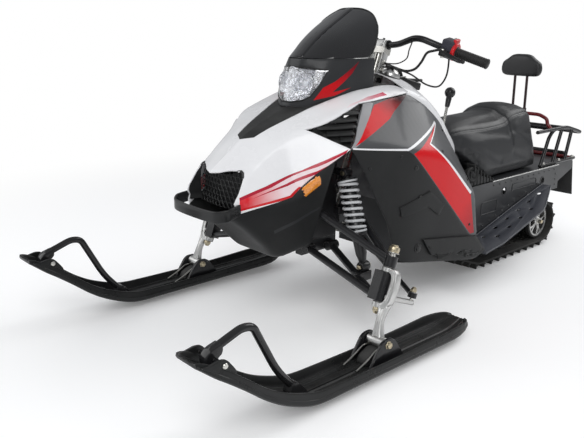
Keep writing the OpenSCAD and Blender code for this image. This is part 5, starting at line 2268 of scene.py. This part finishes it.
def closedLoft(name, rings, material, body):
    n = len(rings[0])
    verts = [p for ring in rings for p in ring]
    faces = [
        (i * n + k, i * n + (k + 1) % n, (i + 1) * n + (k + 1) % n, (i + 1) * n + k)
        for i in range(len(rings) - 1)
        for k in range(n)
    ]
    faces += [tuple(reversed(range(n))), tuple((len(rings) - 1) * n + k for k in range(n))]
    return newPiece(name, verts, faces, material, body)


def keepVertices(piece, places):
    piece.data.vertices.foreach_set("co", np.asarray(places, dtype=np.float32).ravel())
    piece.data.update()


def vertexPlaces(mesh):
    places = np.empty(len(mesh.vertices) * 3, dtype=np.float32)
    mesh.vertices.foreach_get("co", places)
    return places.reshape(-1, 3)


def swell(piece, cap, held):
    # remeshes the form, blows it up as cloth and limits how far it may move
    remesh = piece.modifiers.new("remesh", "REMESH")
    remesh.mode = "VOXEL"
    remesh.voxel_size = softness["voxel"] * mm
    applyModifiers(piece)
    smooth = piece.modifiers.new("relax", "SMOOTH")
    smooth.factor = 0.5
    smooth.iterations = 1
    applyModifiers(piece)
    before = vertexPlaces(piece.data)
    group = piece.vertex_groups.new(name="held")
    group.add([i for i, p in enumerate(before) if held(p)], 1.0, "REPLACE")
    cloth = piece.modifiers.new("cloth", "CLOTH")
    cloth.settings.use_pressure = True
    cloth.settings.uniform_pressure_force = softness["pressure"]
    cloth.settings.effector_weights.gravity = 0
    cloth.settings.vertex_group_mass = "held"
    cloth.settings.tension_stiffness = 12
    cloth.settings.compression_stiffness = 12
    cloth.settings.bending_stiffness = 8.0
    cloth.point_cache.frame_end = softness["frames"]
    for step in range(1, softness["frames"] + 1):
        bpy.context.scene.frame_set(step)
    depsgraph = bpy.context.evaluated_depsgraph_get()
    after = vertexPlaces(piece.evaluated_get(depsgraph).data)
    piece.modifiers.remove(cloth)
    piece.vertex_groups.remove(group)
    bpy.context.scene.frame_set(1)
    move = after - before
    length = np.linalg.norm(move, axis=1, keepdims=True) + 1e-9
    keepVertices(piece, before + move * np.minimum(1.0, cap * mm / length))
    smooth = piece.modifiers.new("relax", "SMOOTH")
    smooth.factor = 0.5
    smooth.iterations = 2
    finer = piece.modifiers.new("finer", "SUBSURF")
    finer.levels = finer.render_levels = 1
    applyModifiers(piece)
    shade(piece, 180)
    return piece


def pressLines(piece, lines, width, depth):
    # sinks the surface along each line, deepest on the line itself
    mesh = piece.data
    places = vertexPlaces(mesh).astype(float)
    normals = np.empty(len(mesh.vertices) * 3, dtype=np.float32)
    mesh.vertex_normals.foreach_get("vector", normals)
    normals = normals.reshape(-1, 3)
    for line in lines:
        route = np.array(line)
        near = np.full(len(places), 1.0)
        for start in range(0, len(places), 4000):
            gap = places[start:start + 4000, None, :] - route[None, :, :]
            near[start:start + 4000] = np.sqrt((gap ** 2).sum(axis=2)).min(axis=1)
        share = np.exp(-((near / (width * mm)) ** 2))
        places -= normals * (share * depth * mm)[:, None]
    keepVertices(piece, places)


def treeOf(piece):
    return BVHTree.FromPolygons(
        [v.co.copy() for v in piece.data.vertices], [tuple(p.vertices) for p in piece.data.polygons]
    )


def threadGroup():
    group, given, out = meshGroup(
        "stitchRow",
        [
            (
                "Spacing", "NodeSocketFloat", 0.007
            ), ("Length", "NodeSocketFloat", 0.0045), ("Radius", "NodeSocketFloat", 0.0006),
            ("Material", "NodeSocketMaterial", None),
        ],
    )
    line = addNode(group, "GeometryNodeMeshToCurve", [("Mesh", given.outputs["Geometry"])])
    points = addNode(
        group, "GeometryNodeCurveToPoints",
        [("Curve", line.outputs[0]), ("Length", given.outputs["Spacing"])],
        mode="LENGTH",
    )
    stitch = addNode(
        group, "GeometryNodeMeshCylinder",
        [("Vertices", 6), ("Radius", given.outputs["Radius"]), ("Depth", given.outputs["Length"])],
    )
    placed = addNode(
        group, "GeometryNodeInstanceOnPoints",
        [
            ("Points", points.outputs[0]), ("Instance", stitch.outputs[0]),
            ("Rotation", points.outputs["Rotation"]),
        ],
    )
    real = addNode(group, "GeometryNodeRealizeInstances", [("Geometry", placed.outputs[0])])
    painted = addNode(
        group, "GeometryNodeSetMaterial",
        [("Geometry", real.outputs[0]), ("Material", given.outputs["Material"])],
    )
    group.links.new(painted.outputs[0], out.inputs[0])
    return group


stitchRow = threadGroup()


def stitched(name, lines, body):
    base = bpy.data.meshes.new(name + "Lines")
    verts, edges = [], []
    for line in lines:
        first = len(verts)
        verts += [tuple(p) for p in line]
        edges += [(first + k, first + k + 1) for k in range(len(line) - 1)]
    base.from_pydata(verts, edges, [])
    return grown(name, base, stitchRow, body, Material=finish["thread"])


# each row: y, half width at the top, height of the top edge, crown, half width at the side, bottom
seatRows = [
    (808, 54, 566, 12, 66, 540), (826, 88, 580, 18, 98, 524), (
        870, 104, 590, 24, 122, 494
    ), (930, 112, 594, 28, 140, 453),
    (990, 116, 594, 30, 150, 412), (
        1034, 120, 594, 30, 152, 386
    ), (1110, 124, 596, 30, 153, 385), (1170, 126, 602, 28, 153, 385),
    (
        1204, 126, 616, 28, 153, 385
    ), (1236, 124, 630, 28, 153, 385), (1300, 120, 634, 28, 152, 385), (1360, 112, 632, 25, 150, 385),
    (1392, 102, 622, 18, 147, 385), (1406, 92, 596, 10, 142, 387),
]


def seatRing(y, top, z, crown, wide, low):
    right = [
        (0, z + crown), (top * 0.5, z + crown * 0.84), (top * 0.86, z + crown * 0.34), (top + 4, z - 9),
        (top + (wide - top) * 0.5, z - (z - low) * 0.30), (wide - 3, z - (z - low) * 0.60),
        (wide, z - (z - low) * 0.84), (wide - 1, low + 7), (wide - 8, low), (wide * 0.45, low),
    ]
    ring = [at(x, y, h) for x, h in right] + [at(0, y, low)] + [at(-x, y, h) for x, h in reversed(right[1:])]
    return list(reversed(ring))


stations = [curvePoints([seatRing(*row)[k] for row in seatRows], 3) for k in range(20)]
seatRings = [list(r) for r in zip(*stations)]
seat = closedLoft("seatCover", seatRings, finish["vinyl"], "chassis")


def underSeat(p):
    return p[2] < 0.405


def nowhere(p):
    return False


def edgeAt(y, k):
    return float(np.interp(y, [r[0] for r in seatRows], [r[k] for r in seatRows]))


swell(seat, softness["seatCap"], underSeat)
seatTree = treeOf(seat)


def fromSide(y, z):
    return landed(seatTree, at(400, y, z), Vector((-0.5, 0, 0)))


def fromTop(x, y):
    return landed(seatTree, at(x, y, 900), Vector((0, 0, -0.6)))


across = [fromTop(x, 1196) for x in np.arange(0, 112, 4)]
downSide = [
    fromSide(1196 + (618 - z) * 0.10 if z > 540 else 1204 + (540 - z) * 0.02, z)
    for z in np.arange(612, 500, -5)
]
crossSeam = [p for p in across + downSide if p]
borderSeam = []
for y in np.arange(832, 1388, 5):
    edge = at(edgeAt(y, 1) + 2, y, edgeAt(y, 2) - 5)
    away = Vector((0.6, 0, 0.8))
    borderSeam.append(landed(seatTree, edge + away * 0.1, -away * 0.2))
borderSeam = [p for p in borderSeam if p]
seams = [crossSeam, mirrored(crossSeam), borderSeam, mirrored(borderSeam)]
pressLines(seat, seams, softness["seamWidth"], softness["seamDepth"])
creases = [
    [fromSide(1222 + t * 150, 560 - t * 66) for t in np.linspace(0, 1, 22)],
    [fromSide(1216 + t * 100, 470 - t * 40) for t in np.linspace(0, 1, 18)],
    [fromSide(880 + t * 230, 540 - t * 96) for t in np.linspace(0, 1, 26)],
]
creases = [[p for p in line if p] for line in creases]
pressLines(seat, creases + [mirrored(line) for line in creases], 16.0, 3.2)
seatTree = treeOf(seat)


def besideSeam(line, shift):
    out = []
    for k, p in enumerate(line):
        ahead = (line[min(k + 1, len(line) - 1)] - line[max(k - 1, 0)]).normalized()
        spot, normal = seatTree.find_nearest(p)[:2]
        moved, upward = seatTree.find_nearest(spot + ahead.cross(normal).normalized() * shift * mm)[:2]
        out.append(moved + upward * 0.0004)
    return out


seat.data.materials.append(finish["seatTop"])
for face in seat.data.polygons:
    c = face.center
    y = (c.y - boltY) / mm
    if y < 1196 and abs(c.x) < (edgeAt(y, 1) + 2) * mm and c.z > (edgeAt(y, 2) - 9) * mm:
        face.material_index = 1
rows = [besideSeam(line, shift) for line in seams for shift in (-4.6, 4.6)]
stitches = stitched("seatStitches", rows, "chassis")
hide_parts("seat")

padOutline = [
    (0, 866), (30, 866), (52, 860), (68, 846), (84, 836), (97, 826), (103, 806), (103, 784), (96, 768),
    (80, 761), (40, 760), (0, 760),
]
padOutline = padOutline + [(-x, z) for x, z in reversed(padOutline[1:-1])]


def padRing(y, scale, drop):
    return [at(x * scale, y, 813 + (z - 813) * drop) for x, z in padOutline]


padRings = [
    padRing(y, s, d)
    for y, s, d in (
        (1455, 0.80, 0.70), (1459, 0.91, 0.85), (1467, 0.955, 0.925), (1483, 0.955, 0.925),
        (1491, 0.91, 0.85), (1495, 0.80, 0.70),
    )
]
pad = closedLoft("backrestCover", padRings, finish["padVinyl"], "chassis")
swell(pad, softness["padCap"], nowhere)
padTree = treeOf(pad)
padSeam = []
for a in np.linspace(0, 2 * math.pi, 120, False):
    away = Vector((math.cos(a), 0, math.sin(a)))
    hit = landed(padTree, at(0, 1484, 813) + away * 0.3, -away * 0.3)
    if hit:
        padSeam.append(hit)
pressLines(pad, [padSeam], 4.5, 2.2)
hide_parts("backrest_pad")

# backrest frame and rear rack
print("rack")
rackTop = [
    (178, 1398, 386.3), (178, 1452, 512), (178, 1492, 540), (178, 1600, 540), (178, 1700, 514),
    (178, 1746, 500), (100, 1751, 500), (0, 1752, 500),
]
rackHalf = roundedPath(ats(rackTop), 34, 7)
rackPath = rackHalf + list(reversed(mirrored(rackHalf)))[1:]
rack = [tube("rackRail", rackPath, 8, finish["steelBlack"], "chassis", 20)]
for x in (-178, 178):
    for ends in (
        ((x, 1502, 386.3), (x, 1560, 538)), ((x, 1611, 386.3), (x, 1652, 525)),
        ((x, 1392, 386.3), (x, 1698, 386.3)), ((x, 1350, 540), (x, 1500, 540)),
    ):
        rack.append(tube("rackPost", ats(ends), 8, finish["steelBlack"], "chassis", 20))
for y, z, kind in (
    (1496, 540, "steelBlack"), (1560, 540, "steelBlack"), (1652, 527, "steelBlack"), (1690, 386.3, "redTube")
):
    rack.append(tube("rackCross", ats([(-178, y, z), (178, y, z)]), 8, finish[kind], "chassis", 20))
for x in (-178, 178):
    for y in (1420, 1556, 1680):
        rack.append(
            turned(
                "rackFoot", at(x, y, 379), (0, 0, 1),
                [(0.01, 14), (6, 14), (7, 15), (7, 20), (5, 21), (0.01, 21)],
                finish["plated"], "chassis", 6, 0.4,
            )
        )
        rack.append(
            turned(
                "rackWasher", at(x, y, 379), (0, 0, 1), [(0.01, 13), (10, 13), (10, 15), (0.01, 15)],
                finish["plated"], "chassis", 24, 0.3,
            )
        )
    rack.append(
        turned(
            "railCap", at(x, 1350, 540), (0, -1, 0), [(8, -2), (8.4, 0), (7, 4), (0.01, 5)], finish["rubber"],
            "chassis", 20, 0.3,
        )
    )
rack = joinPieces("rearRack", rack)
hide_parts("rear_rack")
hoopHalf = roundedPath(
    ats([(168.5, 1476, 542), (150, 1476, 560), (146, 1476, 584), (108, 1476, 600), (0, 1476, 600)]), 16, 6
)
restParts = [
    tube("restHoop", hoopHalf + list(reversed(mirrored(hoopHalf)))[1:], 8, finish["redTube"], "chassis", 20)
]
for x in (-30, 30):
    restParts.append(
        tube("restPost", ats([(x, 1476, 600), (x, 1476, 800)]), 6, finish["darkTube"], "chassis", 18)
    )
    restParts.append(
        turned(
            "postSocket", at(x, 1476, 600), (0, 0, 1), [(6, 6), (9, 8), (9, 22), (6, 25)], finish["darkTube"],
            "chassis", 20, 0.4,
        )
    )
rest = joinPieces("backrestFrame", restParts)
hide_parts("backrest_frame")

# tunnel, boards and flap
print("tunnel")


def sheetPiece(name, outline, holes, put, wall, material, body, folds=(), bevel=0.5):
    # a flat outline with holes, laid in place by put and given its thickness
    points, links = [], []
    for loop in [outline, *holes]:
        first = len(points)
        points += [Vector(q) for q in loop]
        links += [(first + k, first + (k + 1) % len(loop)) for k in range(len(loop))]
    for a, b in folds:
        links.append((len(points), len(points) + 1))
        points += [Vector(a), Vector(b)]
    flat, _, tris, _, _, _ = delaunay_2d_cdt(points, links, [], 0, 1e-6, True)
    faces = []
    for tri in tris:
        middle = sum((flat[k] for k in tri), Vector((0, 0))) / len(tri)
        if inside(middle, outline) and not any(inside(middle, h) for h in holes):
            faces.append(tuple(tri))
    verts = [put(q.x, q.y) for q in flat]
    mesh = bpy.data.meshes.new(name)
    mesh.from_pydata([tuple(v) for v in verts], [], faces)
    piece = linked(name, mesh)
    mesh.materials.append(material)
    bm = bmesh.new()
    bm.from_mesh(mesh)
    bmesh.ops.delete(bm, geom=[v for v in bm.verts if not v.link_faces], context="VERTS")
    bmesh.ops.recalc_face_normals(bm, faces=bm.faces)
    bmesh.ops.dissolve_limit(bm, angle_limit=0.02, verts=bm.verts, edges=bm.edges)
    bm.to_mesh(mesh)
    bm.free()
    thick = piece.modifiers.new("wall", "SOLIDIFY")
    thick.thickness = wall * mm
    thick.offset = 0
    if bevel:
        addBevel(piece, bevel, 2)
    applyModifiers(piece)
    shade(piece, 35)
    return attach(piece, body)


def oval(u, v, long, wide, turn=0.0, count=20):
    out = []
    for a in np.linspace(0, 2 * math.pi, count, False):
        x = (long - wide) / 2 * (1 if math.cos(a) >= 0 else -1) + wide / 2 * math.cos(a)
        y = wide / 2 * math.sin(a)
        out.append((u + x * math.cos(turn) - y * math.sin(turn), v + x * math.sin(turn) + y * math.cos(turn)))
    return out


boardLine = [(780, 152), (900, 168), (1130, 234), (1395, 307)]
boardRun = [0.0]
for a, b in zip(boardLine, boardLine[1:]):
    boardRun.append(boardRun[-1] + math.dist(a, b))


def onBoard(x, s):
    y = float(np.interp(s, boardRun, [p[0] for p in boardLine]))
    z = float(np.interp(s, boardRun, [p[1] for p in boardLine]))
    return at(x, y, z)


boardOutline = [(197, 0), (329, 0), (329, 420), (318, 455), (242, 636), (197, 638)]
boardHoles = []
for k in range(6):
    boardHoles.append(oval(232, 130 + k * 84, 22, 15, math.pi / 2))
    if k < 4:
        boardHoles.append(oval(276, 160 + k * 84, 22, 15, math.pi / 2))
folds = [((197, s), (329, s)) for s in boardRun[1:2]] + [((197, boardRun[2]), (318, boardRun[2]))]
board = sheetPiece("boardLeft", boardOutline, boardHoles, onBoard, 3.6, finish["board"], "chassis", folds)
boardParts = [board]
edgeLine = [onBoard(x, s) for x, s in walk([(325, 4), (325, 420), (315, 455), (240, 632)], False, 12)]
boardParts.append(tube("boardRim", edgeLine, 3.4, finish["board"], "chassis", 10))
rimLine = [onBoard(x, s) + Vector((0, 0, 0.003)) for x, s in walk([(200, 4), (200, 632)], False, 12)]
boardParts.append(tube("boardFlange", rimLine, 3.0, finish["board"], "chassis", 8))
boards = joinPieces("boardLeft", boardParts)
boards = joinPieces("runningBoards", [boards, mirrorPiece(boards, "boardRight")])
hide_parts("running_boards")


def domeGroup(name, sides, radius, height):
    # small round or hexagonal heads on the points of the base, turned by their own attribute
    group, given, out = meshGroup(name, [
        ("Radius", "NodeSocketFloat", radius), ("Height", "NodeSocketFloat", height), (
            "Material", "NodeSocketMaterial", None
        ),
    ])
    low = addNode(
        group, "GeometryNodeMeshCone",
        [("Vertices", sides), ("Radius Bottom", given.outputs["Radius"]), ("Depth", given.outputs["Height"])],
    )
    small = addMath(group, "MULTIPLY", given.outputs["Radius"], 0.62)
    group.links.new(small.outputs[0], low.inputs["Radius Top"])
    turn = addNode(group, "GeometryNodeInputNamedAttribute", [("Name", "turn")], data_type="FLOAT_VECTOR")
    placed = addNode(
        group, "GeometryNodeInstanceOnPoints",
        [("Points", given.outputs["Geometry"]), ("Instance", low.outputs[0]), ("Rotation", turn.outputs[0])],
    )
    real = addNode(group, "GeometryNodeRealizeInstances", [("Geometry", placed.outputs[0])])
    painted = addNode(
        group, "GeometryNodeSetMaterial",
        [("Geometry", real.outputs[0]), ("Material", given.outputs["Material"])],
    )
    group.links.new(painted.outputs[0], out.inputs[0])
    return group


def turnedPoints(name, places):
    # places are pairs of a point and an Euler turn
    base = bpy.data.meshes.new(name)
    base.from_pydata([tuple(p) for p, turn in places], [], [])
    turn = base.attributes.new("turn", "FLOAT_VECTOR", "POINT")
    turn.data.foreach_set("vector", [c for p, t in places for c in t])
    return base


rivetHead = domeGroup("rivetHead", 10, 0.0045, 0.0026)
rivets = []
for s in (-1, 1):
    turn = (0, s * math.pi / 2, 0)
    rivets += [(at(s * 197, y, 362), turn) for y in range(1010, 1500, 44)]
    rivets += [
        (at(s * 197, y, z), turn)
        for y, z in walk([(800, 176), (900, 190), (1130, 256), (1350, 316)], False, 46)
    ]
    rivets += [(at(s * 197, 1508, z), turn) for z in range(290, 360, 24)]
    rivets += [
        (at(s * x, y, 379), (0, 0, 0))
        for x, y in [(150, 1520), (150, 1600), (150, 1700), (60, 1700), (60, 1520)]
    ]
rivetPiece = grown(
    "tunnelRivets", turnedPoints("rivetPlaces", rivets), rivetHead, "chassis", Radius=0.0036, Height=0.002,
    Material=finish["sheet"],
)
dress("tunnel", finish["sheet"], 0.6)


def edgeStrip():
    # the bright strip along the top edge of the tunnel, with a row of teeth
    outline = [(1000, 0)]
    for k in range(24):
        y = 1000 + k * 22
        outline += [(y, 8), (y + 5, 8), (y + 7, 3), (y + 18, 3), (y + 20, 8)]
    outline += [(1528, 8), (1528, 0)]
    parts = []
    for s in (-1, 1):
        strip = sheetPiece(
            "edgeStrip", [(u * mm, v * mm) for u, v in outline], [], lambda u,
            v: Vector((s * (0.1965 - v * 0.9), boltY + u, 0.3795)),
            1.4, finish["alloy"], "chassis", (), 0.0,
        )
        parts.append(strip)
        parts.append(
            tube(
                "stripRound",
                ats([(s * 197, 1000, 378), (s * 197, 1528, 378)]),
                1.8, finish["alloy"], "chassis", 10,
            )
        )
    return joinPieces("tunnelStrips", parts)


strips = edgeStrip()
rims = []
for s in (-1, 1):
    for y in (1090, 1395):
        rims.append(
            turned(
                "holeRim", at(s * 196, y, 325), (s, 0, 0),
                [(14.2, -1), (14.2, 1.2), (17, 1.8), (19, 0.8), (19.5, -0.5), (14.2, -1)],
                finish["sheet"], "chassis", 36, 0.0,
            )
        )
    relief = []
    for y0, y1, z0, z1 in ((1150, 1340, 318, 346), (930, 1040, 250, 300)):
        corners = [(y0, z0), (y1, z0), (y1, z1), (y0, z1), (y0, z0)]
        ridge = roundedPath([at(s * 196.4, y, z) for y, z in corners], 12, 5)
        rims.append(tube("panelBead", ridge, 2.0, finish["sheet"], "chassis", 8))
rims = joinPieces("tunnelRims", rims)
flapParts = []
flapOutline = [(-162, 196), (162, 196), (162, 250), (163, 364), (-163, 364), (-162, 250)]
flap = prism("mudFlap", [(x, z) for x, z in flapOutline], "y", 0, 4, finish["rubber"], "chassis", 1.2)
flap.data.transform(Matrix.Translation((0, 1721.5 * mm, 0)))
for v in flap.data.vertices:
    v.co.y += (0.364 - v.co.z) * 0.178
flapParts.append(flap)
for z in (222, 250, 278):
    y = 1726 + (364 - z) * 0.178
    flapParts.append(tube("flapRib", ats([(-150, y, z), (150, y, z)]), 3.0, finish["rubber"], "chassis", 8))
flap = joinPieces("mudFlap", flapParts)
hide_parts("mud_flap")
lampParts = [
    prism(
        "tailHousing",
        [(-120, 368), (120, 368), (120, 396), (112, 404), (-112, 404), (-120, 396)],
        "y", 1720.6, 1733, finish["blackSmooth"], "chassis", 2,
    ),
    prism(
        "tailLens",
        [(-114, 371), (114, 371), (114, 395), (108, 401), (-108, 401), (-114, 395)],
        "y", 1731, 1743.5, finish["redLens"], "chassis", 3, 35, 3,
    ),
]
for x in range(-100, 101, 20):
    lampParts.append(
        prism(
            "tailRib",
            [(x - 0.9, 373), (x + 0.9, 373), (x + 0.9, 399), (x - 0.9, 399)],
            "y", 1743, 1744, finish["redLens"], "chassis", 0.3,
        )
    )
tail = joinPieces("tailLight", lampParts)
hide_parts("tail_light")

# foot wells between the side panels and the seat
print("foot wells")
well = []
for k in range(7):
    y = 872 + k * 22
    high = float(np.interp(y, [862, 884, 930, 1010], [470, 462, 430, 392]))
    well.append(
        prism(
            "wellRib",
            [(y, 380), (y + 9, 380), (y + 8, high - 4), (y + 4, high), (y + 1, high - 4)],
            "x", 152, 192, finish["black"], "chassis", 1.5,
        )
    )
well.append(
    prism(
        "wellFloor",
        [(852, 379), (1020, 379), (1020, 384), (930, 412), (870, 440), (852, 440)],
        "x", 150, 190, finish["blackSmooth"], "chassis", 3,
    )
)
knob = at(186, 868, 424)
well.append(
    turned(
        "wellKnob", knob, (1, -0.2, 0.2),
        [(0.01, -14), (30, -14), (31, -10), (31, 2), (28, 5), (22, 5), (20, 2), (11, 2), (9, 6), (0.01, 7)],
        finish["black"], "chassis", 36, 0.8,
    )
)
well = joinPieces("footWellLeft", well)
wells = joinPieces("footWells", [well, mirrorPiece(well, "footWellRight")])

# track, track clips and wheels
print("track")
trackPlan = {
    "circles": [(990, 112, 92), (1476, 112, 92), (645, 236, 83)],
    "half": 178, "belt": 9.0, "lug": 20.0, "count": 40, "phase": 0.5,
}


def trackLoop(offset, count=None, step=14):
    # the belt round its three circles, as evenly spaced points with their outward directions
    cloud = []
    for y, z, r in trackPlan["circles"]:
        cloud += [
            Vector((y + (r + offset) * math.cos(a), z + (r + offset) * math.sin(a)))
            for a in np.linspace(0, 2 * math.pi, 180, False)
        ]
    order = convex_hull_2d(cloud)
    loop = [cloud[k] for k in order]
    lengths = [0.0]
    for a, b in zip(loop, loop[1:] + loop[:1]):
        lengths.append(lengths[-1] + (b - a).length)
    shift = trackPlan["phase"] if count else 0.0
    count = count or round(lengths[-1] / step)
    out = []
    for k in range(count):
        s = lengths[-1] * (k + shift) / count
        i = max(0, int(np.searchsorted(lengths, s, side="right")) - 1)
        a, b = loop[i], loop[(i + 1) % len(loop)]
        share = (s - lengths[i]) / max(1e-9, (b - a).length)
        out.append((a.lerp(b, share), (b - a).normalized()))
    turning = sum((a[0].x * b[0].y - b[0].x * a[0].y) for a, b in zip(out, out[1:] + out[:1]))
    sign = 1 if turning > 0 else -1
    return [(p, Vector((d.y, -d.x)) * sign) for p, d in out]


beltSection = [
    (-178, -1.5), (-176, -0.2), (-128, -0.2), (-124, -1.2), (-106, -1.2), (-102, -0.2), (-34, -0.2),
    (-30, -1.4), (30, -1.4), (34, -0.2), (102, -0.2), (106, -1.2), (124, -1.2), (128, -0.2), (176, -0.2),
    (178, -1.5), (178, -7.5), (176, -9), (-176, -9), (-178, -7.5),
]
loop = trackLoop(0.0)
beltVerts, beltFaces = [], []
n = len(beltSection)
for p, out in loop:
    for x, v in beltSection:
        q = p + out * v
        beltVerts.append(at(x, q.x, q.y))
for i in range(len(loop)):
    j = (i + 1) % len(loop)
    beltFaces += [(i * n + k, i * n + (k + 1) % n, j * n + (k + 1) % n, j * n + k) for k in range(n)]
belt = newPiece("trackBelt", beltVerts, beltFaces, finish["trackRubber"], "chassis", 0.0, 30)


def blockGroup(name, blocks):
    # joins blocks, each given by its centre and size in mm, and sets one on every point
    group, given, out = meshGroup(
        name, [("Scale", "NodeSocketFloat", 1.0), ("Material", "NodeSocketMaterial", None)]
    )
    joined = addNode(group, "GeometryNodeJoinGeometry")
    for centre, size in blocks:
        cube = addNode(group, "GeometryNodeMeshCube", [("Size", tuple(c * mm for c in size))])
        moved = addNode(
            group, "GeometryNodeTransform",
            [("Geometry", cube.outputs[0]), ("Translation", tuple(c * mm for c in centre))],
        )
        group.links.new(moved.outputs[0], joined.inputs[0])
    turn = addNode(group, "GeometryNodeInputNamedAttribute", [("Name", "turn")], data_type="FLOAT_VECTOR")
    placed = addNode(
        group, "GeometryNodeInstanceOnPoints",
        [
            ("Points", given.outputs["Geometry"]), ("Instance", joined.outputs[0]),
            ("Rotation", turn.outputs[0]),
        ],
    )
    size = addNode(group, "ShaderNodeCombineXYZ")
    for k in range(3):
        group.links.new(given.outputs["Scale"], size.inputs[k])
    group.links.new(size.outputs[0], placed.inputs["Scale"])
    real = addNode(group, "GeometryNodeRealizeInstances", [("Geometry", placed.outputs[0])])
    painted = addNode(
        group, "GeometryNodeSetMaterial",
        [("Geometry", real.outputs[0]), ("Material", given.outputs["Material"])],
    )
    group.links.new(painted.outputs[0], out.inputs[0])
    return group


def loopPlaces(offset, count):
    return [(at(0, p.x, p.y), (math.atan2(-out.x, out.y), 0, 0)) for p, out in trackLoop(offset, count)]


lugBlocks = []
for x0, x1, h in ((-176, -128, 19.5), (-118, -40, 17.5), (-36, 36, 19.5), (40, 118, 17.5), (128, 176, 19.5)):
    lugBlocks.append((((x0 + x1) / 2, 0, h / 2 - 1), (x1 - x0, 7.0, h)))
    lugBlocks.append((((x0 + x1) / 2, 0, 3.0), (x1 - x0 + 3, 15.0, 7.0)))
    lugBlocks += [((x, 0, h * 0.36), (5.0, 12.5, h * 0.72)) for x in (x0 + 4, x1 - 4)]
lugs = grown(
    "trackLugs",
    turnedPoints("lugPlaces", loopPlaces(0.0, trackPlan["count"])),
    blockGroup("trackLug", lugBlocks), "chassis", Scale=1.0, Material=finish["trackRubber"],
)
soften = lugs.modifiers.new("soft", "BEVEL")
soften.width = 0.9 * mm
soften.segments = 1
soften.limit_method = "ANGLE"
applyModifiers(lugs)
ribBlocks = [((x, 0, -11.0), (13, 22, 5.5)) for x in (-64, 64)] + [
    ((x, 0, -9.6), (16, 26, 1.4)) for x in (-115, 115)
]
drives = grown(
    "trackDrives",
    turnedPoints("drivePlaces", loopPlaces(0.0, trackPlan["count"])),
    blockGroup("trackDrive", ribBlocks[:2]), "chassis", Scale=1.0, Material=finish["trackRubber"],
)
clips = grown(
    "trackClips",
    turnedPoints("clipPlaces", loopPlaces(0.0, trackPlan["count"])),
    blockGroup("trackClip", ribBlocks[2:] + [((x, 0, -6.0), (3.0, 24, 9.0)) for x in (-104, 104)]),
    "chassis", Scale=1.0, Material=finish["plated"],
)
whole = joinPieces("trackRubber", [belt, lugs, drives])
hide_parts("track")


def spokedWheel(x, y, z, radius, width, spokes):
    c = at(x, y, z)
    h = width / 2
    parts = [
        turned(
            "tyre", c, (1, 0, 0),
            [
                (radius - 12, -h + 2), (radius - 4, -h + 1), (radius - 1, -h + 3), (radius, -h + 6),
                (radius, h - 6), (radius - 1, h - 3), (radius - 4, h - 1), (radius - 12, h - 2),
                (radius - 12, -h + 2),
            ],
            finish["rubber"], "chassis", 64, 0.0,
        ),
        turned(
            "rim", c, (1, 0, 0),
            [
                (radius - 20, -h + 3), (radius - 12, -h + 1.5), (radius - 11, -h + 2.5),
                (radius - 11, h - 2.5), (radius - 12, h - 1.5), (radius - 20, h - 3), (radius - 20, -h + 3),
            ],
            finish["alloy"], "chassis", 64, 0.0,
        ),
        turned(
            "hub", c, (1, 0, 0),
            [
                (10.2, -h), (17, -h), (18, -h + 1), (22, -h + 5), (22, h - 5), (18, h - 1), (17, h),
                (10.2, h), (10.2, -h),
            ],
            finish["alloy"], "chassis", 36, 0.0,
        ),
    ]
    for k in range(spokes):
        a = 2 * math.pi * k / spokes
        for lean in (-0.24, 0.24):
            u0, u1 = a + lean * 0.35, a + lean
            line = [(19, u0), (radius * 0.5, a + lean * 0.55), (radius - 16, u1)]
            left, right = [], []
            for i, (r, t) in enumerate(line):
                half = (5.6, 4.6, 6.4)[i]
                mid = (r * math.cos(t), r * math.sin(t))
                across = (-math.sin(t) * half, math.cos(t) * half)
                left.append((mid[0] + across[0], mid[1] + across[1]))
                right.append((mid[0] - across[0], mid[1] - across[1]))
            outline = left + list(reversed(right))
            parts.append(
                prism(
                    "spoke", [(y + u, z + v) for u, v in outline], "x", x - h + 4, x + h - 4, finish["alloy"],
                    "chassis", 1.6,
                )
            )
    for s in (-1, 1):
        parts.append(
            turned(
                "wheelCap", c + Vector((s * h * mm, 0, 0)), (s, 0, 0),
                [(10, -1), (15, -1), (15, 1.5), (10, 2.2)], finish["plated"], "chassis", 28, 0.3,
            )
        )
    return parts


wheels = []
for x in (-140, -50, 50, 140):
    wheels += spokedWheel(x, 1476, 112, 82.3, 26, 5)
wheels.append(
    tube("rearAxle", ats([(-165, 1476, 112), (165, 1476, 112)]), 10, finish["plated"], "chassis", 28)
)
for s in (-1, 1):
    wheels.append(
        turned(
            "axleBolt", at(s * 165, 1476, 112), (s, 0, 0),
            [(0.01, -1), (8.5, -1), (9, 0), (9, 5.5), (8, 6.5), (0.01, 6.5)],
            finish["zinc"], "chassis", 6, 0.5,
        )
    )
for x in (-115, 115):
    for y in (1080, 1220):
        c = at(x, y, 73)
        wheels.append(
            turned(
                "bogieTyre", c, (1, 0, 0),
                [(34, -9), (42, -10), (43.4, -8), (43.4, 8), (42, 10), (34, 9), (34, -9)],
                finish["rubber"], "chassis", 48, 0.0,
            )
        )
        wheels.append(
            turned(
                "bogieRim", c, (1, 0, 0),
                [
                    (0.01, -6), (12, -6), (14, -10.5), (18, -10.5), (20, -3), (30, -3), (33, -9), (34.4, -8),
                    (34.4, 8), (33, 9), (30, 3), (20, 3), (18, 10.5), (14, 10.5), (12, 6), (0.01, 6),
                ],
                finish["blackSmooth"], "chassis", 48, 0.0,
            )
        )
wheels = joinPieces("trackWheels", wheels)
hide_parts("track_wheels")


print("done")
